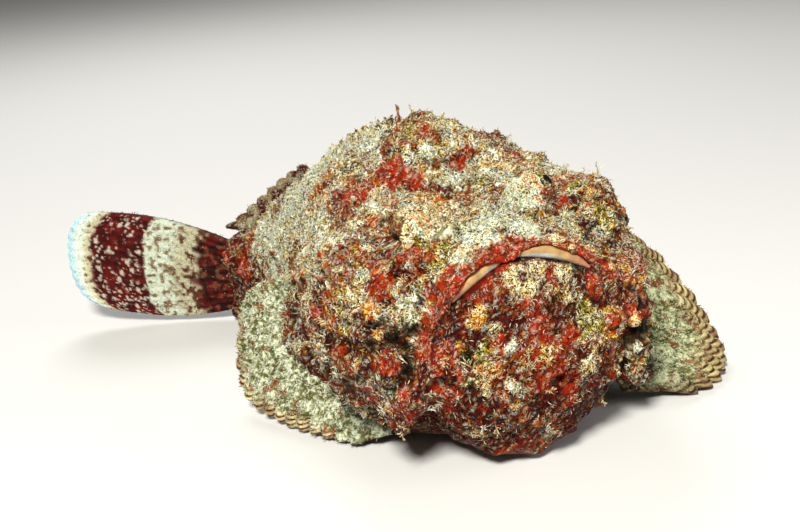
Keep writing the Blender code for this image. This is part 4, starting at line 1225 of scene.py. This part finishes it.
def tail_colours(u, v, points):
    """From the tip: icy rim, brown specks, dark red with white dots, white, speckled tan, maroon."""
    wobble = v + 0.035 * (u - 0.5) + 0.014 * noise(points, 0.006, 501) + 0.012 * noise(points, 0.002, 502)
    spread = 0.024 + 0.019 * v
    patchy = eased(-0.3, 0.5, noise(points, 0.0022, 503) + 0.5 * noise(points, 0.006, 504))
    specks = np.maximum(dots(u, v, TAIL_RAYS, 17, 0.00080, spread, TAIL_LENGTH, 61),
                        dots(u, v, 2 * TAIL_RAYS, 26, 0.00046, spread, TAIL_LENGTH, 62))
    specks *= eased(-0.60, 0.0, noise(points, 0.0035, 506))
    red = mixed(mixed(DARK_RED, BLOOD, patchy), WHITE, 0.8 * specks)
    flecks = eased(0.05, 0.45, noise(points, 0.0016, 507) + 0.4 * noise(points, 0.0040, 508))
    speckled = mixed(SAND, BROWN, 0.85 * flecks)
    few = eased(0.12, 0.42, noise(points, 0.0016, 505))
    pale = mixed(CHALK, FLECK, 0.8 * few)
    dark_red = mixed(mixed(DEEP_MAROON, BLOOD, 0.8 * patchy), TAN, 0.5 * few)
    rim = mixed(RIM, ICE, eased(0.95, 0.99, v))
    colours = mixed(dark_red, speckled, eased(0.25, 0.33, wobble + 0.05 * noise(points, 0.0030, 509)))
    for band, start in zip((pale, red, speckled, rim), TAIL_BANDS):
        colours = mixed(colours, band, eased(*start, wobble))
    return colours


def bead_delay(u):
    """How much farther out the beads start on the last rays."""
    return 0.16 * eased(0.62, 0.90, u)


def drawn_in(u):
    """How far the last rays of a breast fin are drawn in, at the end of its tip line."""
    return 1.0 - 0.45 * eased(0.84, 1.0, u) ** 2


def crescents(u, v, rays, rows, seed):
    """Bows across each ray, one after another: 1 on them and 0 between."""
    x = u * rays
    across = (x % 1.0) - 0.5
    own = np.stack([np.floor(x), x * 0, x * 0], axis=1).astype(np.int64)
    phase = v * drawn_in(u) * rows + 1.4 * across**2 + 0.8 * scramble(own, seed)
    bow = eased(0.16, 0.60, 0.5 + 0.5 * np.cos(2 * math.pi * phase))
    return bow * faded(0.36, 0.50, np.abs(across))


def breast_ground(points):
    """Cream fuzz over darker gaps, the fin's olive-brown with painted shade between the fuzz, and a few
    green and brown flecks.
    """
    fuzz = eased(-0.50, 0.35, noise(points, 0.0009, 521) + 0.5 * noise(points, 0.0026, 524))
    colours = mixed(FUZZ_GAP_SHADE, FUZZ, fuzz)
    colours = mixed(colours, FUZZ_BROWN, 0.8 * eased(0.35, 0.60, noise(points, 0.0030, 522)))
    return mixed(colours, FUZZ_GREEN, 0.9 * eased(0.55, 0.70, noise(points, 0.0032, 523)))


def beaded_colours(u, v, points, rows, first):
    """Cream beads with brown joints along the outer part of each ray, over the fuzzy ground."""
    first = first + bead_delay(u)
    outer = eased(first - 0.08, first + 0.10, v + 0.07 * noise(points, 0.006, 511))
    worn = 0.75 + 0.35 * noise(points, 0.004, 512)
    beads = mixed(BROWN, CREAM, crescents(u, v, BREAST_RAYS, rows, BEAD_SEED) * worn)
    dull = 1.0 - 0.30 * eased(0.78, 0.95, u)[:, None]
    return mixed(breast_ground(points), 0.90 * beads, outer) * dull


def breast_colours(side):
    """The rule for a breast fin's colours."""
    rows, first, _ = BEADS[side]
    return lambda u, v, points: beaded_colours(u, v, points, rows, first) * BREAST_TINT[side]


def web_colours(u, v, points):
    """Mottled maroon and cream, for the fins low on the body."""
    wobble = noise(points, 0.0060, 531) + 0.6 * noise(points, 0.0020, 532)
    colours = blend_colours([
        (0.8 * np.array(CREAM), eased(0.0, 0.6, wobble)),
        (DARK_RED, eased(-0.2, 0.4, -wobble)),
        (BROWN, np.full(len(u), 0.35)),
    ])
    return mixed(colours, WEB_BLOOM, 0.6 * eased(0.0, 0.4, noise(points, 0.0014, 533)))


FIN_SHADE = 0.80          # the fins' skin is darker than the fuzz on it
BEADS = {-1: (20, 0.86, 0.0004), 1: (20, 0.74, 0.0004)}
BREAST_TINT = {-1: (1.0, 1.0, 1.0), 1: (0.90, 0.90, 0.84)}
BREAST_ROOTS = {
    -1: ((-0.048, -0.008, 0.044), (-0.050, -0.022, 0.028), (-0.043, -0.046, 0.013), (-0.030, -0.070, 0.009)),
    1: ((0.046, -0.012, 0.048), (0.050, -0.026, 0.034), (0.043, -0.050, 0.015), (0.030, -0.070, 0.009)),
}
BREAST_TIPS = {
    -1: ((-0.066, 0.008, 0.028), (-0.073, -0.012, 0.007), (-0.066, -0.034, 0.0014),
         (-0.056, -0.054, 0.0014), (-0.044, -0.074, 0.0014)),
    1: ((0.074, -0.018, 0.052), (0.091, -0.042, 0.031), (0.099, -0.064, 0.008),
        (0.087, -0.084, 0.0014), (0.062, -0.096, 0.0014)),
}
TAIL_SPAN = 0.070
SECTIONS = (0.095, 0.120, 0.148, 0.172, 0.192, 0.207)   # behind the lip, with the back's height at each
SECTION_TOPS = (0.0950, 0.0880, 0.0750, 0.0590, 0.0450, 0.0370)


def top_at(distance, lift=0.0, side=0.0):
    """A point above the middle of the back."""
    near = distance + np.linspace(-0.007, 0.007, 7)
    top = float(np.mean(np.interp(near, SECTIONS, SECTION_TOPS)))
    return body_frame(distance, side, top + lift)


def tail_fin():
    x, y, heading = spine_at(TAIL_ROOT)
    forward = Vector((-math.sin(heading), math.cos(heading), 0.0))

    def root(u):
        return body_frame(TAIL_ROOT - 0.010, 0.0, 0.0195 + (u - 0.5) * 0.024)

    def tip(u):
        spread = (u - 0.5) * 2.0
        reach = TAIL_SPAN * (1.0 - 0.17 * abs(spread) ** 2.4)
        height = 0.0310 + 0.0215 * math.sin(spread * 1.3) / math.sin(1.3)
        return Vector((x, y, 0.0)) + forward * reach + Vector((0, 0, height))

    return Fin("tail_fin_skin", root, tip, TAIL_RAYS, lambda u: Vector((0, 0, 0.005 * (u - 0.5) * 2.0)),
               thick=(0.0048, 0.0013), ridge=0.0003, scallop=0.008, columns=12, rows=100, flutter=0.0007,
               bald=0.90, pale=0.08)


def breast_fin(side):
    root, tip = through(BREAST_ROOTS[side]), through(BREAST_TIPS[side])
    return Fin("breast_fin_" + SIDES[side], root, tip, BREAST_RAYS,
               lambda u: Vector((side * 0.003, 0, 0.006)), thick=(0.0034, 0.0014), ridge=0.0010,
               scallop=0.10, columns=12, rows=96, beads=BEADS[side], bald=BEADS[side][1], corner=True)


def soft_back_fin():
    start, end = 0.158, 0.192

    def root(u):
        return top_at(start + (end - start) * u, -0.006)

    def tip(u):
        reach = math.sin(math.pi * min(1.0, 0.35 + 0.65 * u))
        return top_at(start + 0.010 + (end + 0.006 - start) * u, 0.003 + 0.006 * reach, 0.004)

    return Fin("soft_back_fin", root, tip, 8, lambda u: Vector((0, 0, 0)), thick=(0.0036, 0.0011),
               columns=8, rows=24)


def vent_fin():
    start, end = 0.148, 0.186

    def root(u):
        return body_frame(start + (end - start) * u, 0.004, 0.0065)

    def tip(u):
        return body_frame(start + 0.012 + (end + 0.006 - start) * u, 0.036 - 0.012 * u, 0.0014)

    return Fin("vent_fin", root, tip, 7, lambda u: Vector((0, 0, 0.0015)))


def belly_fin(side):
    root = [(side * 0.030, 0.000, 0.008), (side * 0.034, -0.014, 0.008)]
    tip = [(side * 0.050, 0.034, 0.0014), (side * 0.061, 0.012, 0.0014)]
    return Fin("belly_fin_" + SIDES[side], through(root), through(tip), 6, lambda u: Vector((0, 0, 0.001)))


# Each fin, its colours, the node it is shown in place of, and the length and spacing of its tufts
FINS = (
    (tail_fin(), tail_colours, "tail_fin", 0.0013, 0.00078),
    (breast_fin(-1), breast_colours(-1), "pectoral_fin_right", 0.0018, 0.00064),
    (breast_fin(1), breast_colours(1), "pectoral_fin_left", 0.0018, 0.00072),
    (soft_back_fin(), web_colours, "soft_dorsal_fin", 0.0016, 0.0007),
    (vent_fin(), web_colours, "anal_fin", 0.0014, 0.0009),
    (belly_fin(-1), web_colours, "pelvic_fin_right", 0.0014, 0.0009),
    (belly_fin(1), web_colours, "pelvic_fin_left", 0.0014, 0.0009),
)


def fin_tufts(fin, colour_rule, length, spacing, rng):
    """Papillae on both faces of a fin, coloured as the fin is there and longest near its root."""
    steps = [np.linalg.norm(np.gradient(fin.upper, axis=k), axis=2) for k in (0, 1)]
    chance = (steps[0] * steps[1] / spacing**2).ravel()
    chance *= 1.0 - 0.75 * eased(fin.bald, fin.bald + 0.12, fin.v - bead_delay(fin.u))
    chance *= 0.45 + 0.80 * colour_rule(fin.u, fin.v, fin.upper.reshape(-1, 3)).mean(axis=1)
    picked = []
    for sheet, way in ((fin.upper.reshape(-1, 3), 1.0), (fin.lower.reshape(-1, 3), -1.0)):
        pick = rng.random(chance.shape) < chance * (1.0 if way > 0 else 0.6)
        pick &= (fin.v < 0.985) & (sheet[:, 2] > 0.0015)
        picked.append((sheet[pick], way * fin.normal.reshape(-1, 3)[pick], fin.u[pick], fin.v[pick]))
    points, normals, u, v = (np.concatenate(values) for values in zip(*picked))
    points = points + rng.normal(size=points.shape) * spacing * 0.2
    count = len(points)
    ahead = unit(np.gradient(fin.upper, axis=1)).reshape(-1, 3).mean(axis=0)
    long = length * rng.uniform(0.6, 1.4, count) * (1.25 - 0.5 * v)
    thick, curl = TUFT_THICK * rng.uniform(0.7, 1.1, count), rng.uniform(0.6, 3.2, count)
    tufts = grow_tufts(points, normals, long, thick, curl, 0.75 * normals + 0.30 * ahead, rng)
    ground = colour_rule(u, v, points + 0.0006 * rng.normal(size=points.shape))
    draw = rng.random(count)[:, None]
    tip = np.where(draw < fin.pale, CREAM, np.clip(ground * 1.22 + 0.03, 0, 1))
    tip = np.where(draw < fin.pale / 2, WHITE, tip)
    tip = np.where(draw > 0.84, ground * 0.5, tip)
    # The root end darker than the fin's colour there, as painted shade low in the fuzz.
    tufts["base_colour"], tufts["tip_colour"] = ground * 0.6, tip * rng.uniform(0.85, 1.05, count)[:, None]
    tufts["map"] = np.stack([0.02 + 0.96 * u, 0.02 + 0.96 * v], axis=1)
    return tufts


def make_fins():
    rng = np.random.default_rng(FIN_SEED)
    for fin, rule, node, length, spacing in FINS:
        mesh = fin.build()
        ends = np.concatenate([fin.upper.reshape(-1, 3), fin.lower.reshape(-1, 3)])
        both_u, both_v = np.tile(fin.u, 2), np.tile(fin.v, 2)
        shade = FIN_SHADE + (1.0 - FIN_SHADE) * eased(fin.bald - 0.05, fin.bald + 0.05, both_v)
        paint(mesh, shade[:, None] * rule(both_u, both_v, ends))
        add_piece(fin.name, mesh, FIN_SKIN, (node,))
        add_coat(fin.name + "_coat", fin_tufts(fin, rule, length, spacing, rng))


make_fins()


# Mouth linings and eyes

def tube_parts(line, radii, sides):
    """Points and faces of a round tube through points, with a radius at each, closed at both ends."""
    tangent = unit(np.gradient(line, axis=0))
    side = unit(np.cross(tangent, (0.0, 1.0, 0.0)))
    rise = np.cross(side, tangent)
    turns = 2 * math.pi * np.arange(sides) / sides
    out = side[:, None, :] * np.cos(turns)[None, :, None] + rise[:, None, :] * np.sin(turns)[None, :, None]
    rings = line[:, None, :] + radii[:, None, None] * out
    count = len(line)
    points = np.concatenate([rings.reshape(-1, 3), line[:1], line[-1:]])
    quads, tips = [], []
    for j in range(sides):
        k = (j + 1) % sides
        for i in range(count - 1):
            quads.append((i * sides + j, i * sides + k, (i + 1) * sides + k, (i + 1) * sides + j))
        tips.append((k, j, count * sides))
        tips.append(((count - 1) * sides + j, (count - 1) * sides + k, count * sides + 1))
    return points, np.array(quads), np.array(tips)


def make_linings():
    """The two crescents between the lips: tan above, and blue-grey along the lower border."""
    for word, (first, last) in LINING_TURNS.items():
        turns = np.radians(np.linspace(first, last, 60))
        radius = line_radius(turns)
        across, up = radius * np.cos(turns), radius * np.sin(turns)
        front = arch_front(turns) + LINING_BACK
        line = np.stack([MOUTH_CENTRE.x + across, front, MOUTH_CENTRE.z + up], axis=1)
        points, quads, tips = tube_parts(line, lining_thick(turns) + LINING_FULLER, sides=20)
        off, _, turn = off_line(points)
        along = (np.degrees(turn) - first) / (last - first)
        lower = faded(-0.0009, 0.0001, off + 0.0003 * noise(points, 0.003, 603))
        blue_to = LINING_BLUE_TO[word]
        blue = lower * (1.0 - 0.85 * eased(blue_to - 0.20, blue_to + 0.15, along))
        far = eased(0.55, 1.0, along)
        colours = blend_colours([
            (LINING_TAN, (1 - blue) * (1 - far)),
            (LINING_PINK, (1 - blue) * far),
            (LINING_BLUE, blue),
        ])
        colours *= (1.0 + 0.14 * noise(points, 0.0024, 601) + 0.08 * noise(points, 0.0009, 602))[:, None]
        mesh = new_mesh("mouth_lining_" + word, points, quads, tips)
        paint(mesh, colours)
        add_piece("lining_" + word, mesh, LINING, ("mouth_lining_" + word,))


make_linings()


def make_eye(side, word):
    """A ball with a dark oval pupil and an iris streaked outwards."""
    work = bmesh.new()
    bmesh.ops.create_uvsphere(work, u_segments=96, v_segments=64, radius=EYEBALL_RADIUS)
    mesh = bpy.data.meshes.new("eye_" + word)
    work.to_mesh(mesh)
    work.free()
    turn = PUPIL_WAY[side].to_track_quat("Z", "Y").to_matrix().to_4x4()
    local = np.empty(len(mesh.vertices) * 3, np.float32)
    mesh.vertices.foreach_get("co", local)
    local = local.reshape(-1, 3) / EYEBALL_RADIUS   # in radii, with the pupil at +Z
    out = np.degrees(np.arctan2(np.hypot(local[:, 0], local[:, 1]), local[:, 2]))
    cornea = 1.0 + CORNEA_RISE / EYEBALL_RADIUS * np.clip(1.0 - (out / CORNEA_DEGREES) ** 2, 0.0, 1.0)
    mesh.vertices.foreach_set("co", (local * cornea[:, None] * EYEBALL_RADIUS).astype(np.float32).ravel())
    mesh.transform(Matrix.Translation(eye_place(side) + ORIGIN) @ turn)
    off = np.degrees(np.arctan2(np.hypot(local[:, 0], local[:, 1] * 1.15), local[:, 2]))
    around = np.arctan2(local[:, 1], local[:, 0])
    circle = np.stack([np.cos(around), np.sin(around), np.zeros_like(around)], axis=1)
    streak = eased(-0.25, 0.45, noise(circle, 0.16, 701) + 0.4 * noise(local, 0.22, 702))
    pupil = faded(PUPIL_DEGREES - 1.0, PUPIL_DEGREES + 1.0, off)
    iris = blend_colours([(IRIS_TAN, streak), (IRIS_RUST, 1 - streak)])
    paint(mesh, mixed(iris, PUPIL_BLACK, pupil))
    mesh.shade_smooth()
    add_piece("eyeball_" + word, mesh, EYE, ("eye_" + word,))


for eye_side, eye_word in SIDES.items():
    make_eye(eye_side, eye_word)


# Studio

FLOOR_SIZE, FLOOR_COLOUR = 12.0, (0.60, 0.59, 0.57)
LIGHT_AIM = Vector((0.0, 0.0, 0.04))
SKY_COLOUR, SKY_STRENGTH = (0.97, 0.97, 0.95, 1.0), 0.13
# Each lamp's place, width, watts and colour
LAMPS = {
    "key": ((-0.45, -0.80, 0.85), 0.28, 27.5, (1.0, 0.99, 0.93)),
    "fill": ((0.75, -0.55, 0.45), 0.7, 3.0, (0.98, 0.98, 1.0)),
    "back": ((0.1, 0.8, 0.8), 0.6, 7.0, (1.0, 1.0, 1.0)),
}


def plain_material(name, colour, roughness):
    material = bpy.data.materials.new(name)
    material.use_nodes = True
    tree = material.node_tree
    feed(tree, tree.nodes["Principled BSDF"], {"Base Color": (*colour, 1.0), "Roughness": roughness})
    return material


def add_floor():
    bpy.ops.mesh.primitive_plane_add(size=FLOOR_SIZE)
    floor = bpy.context.object
    floor.name = "floor"
    floor.data.materials.append(plain_material("floor", FLOOR_COLOUR, 0.9))


def add_light(name, place, size, watts, colour):
    data = bpy.data.lights.new(name, "AREA")
    data.shape = "DISK"
    data.size = size
    data.energy = watts
    data.color = colour
    lamp = bpy.data.objects.new(name, data)
    bpy.context.scene.collection.objects.link(lamp)
    lamp.location = Vector(place)
    lamp.rotation_mode = "QUATERNION"
    lamp.rotation_quaternion = (LIGHT_AIM - lamp.location).to_track_quat("-Z", "Y")


def light_studio():
    for name, lamp in LAMPS.items():
        add_light(name, *lamp)
    world = bpy.data.worlds.new("studio")
    bpy.context.scene.world = world
    world.use_nodes = True
    sky = {"Color": SKY_COLOUR, "Strength": SKY_STRENGTH}
    feed(world.node_tree, world.node_tree.nodes["Background"], sky)
    bpy.context.scene.view_settings.view_transform = "Standard"


add_floor()
light_studio()
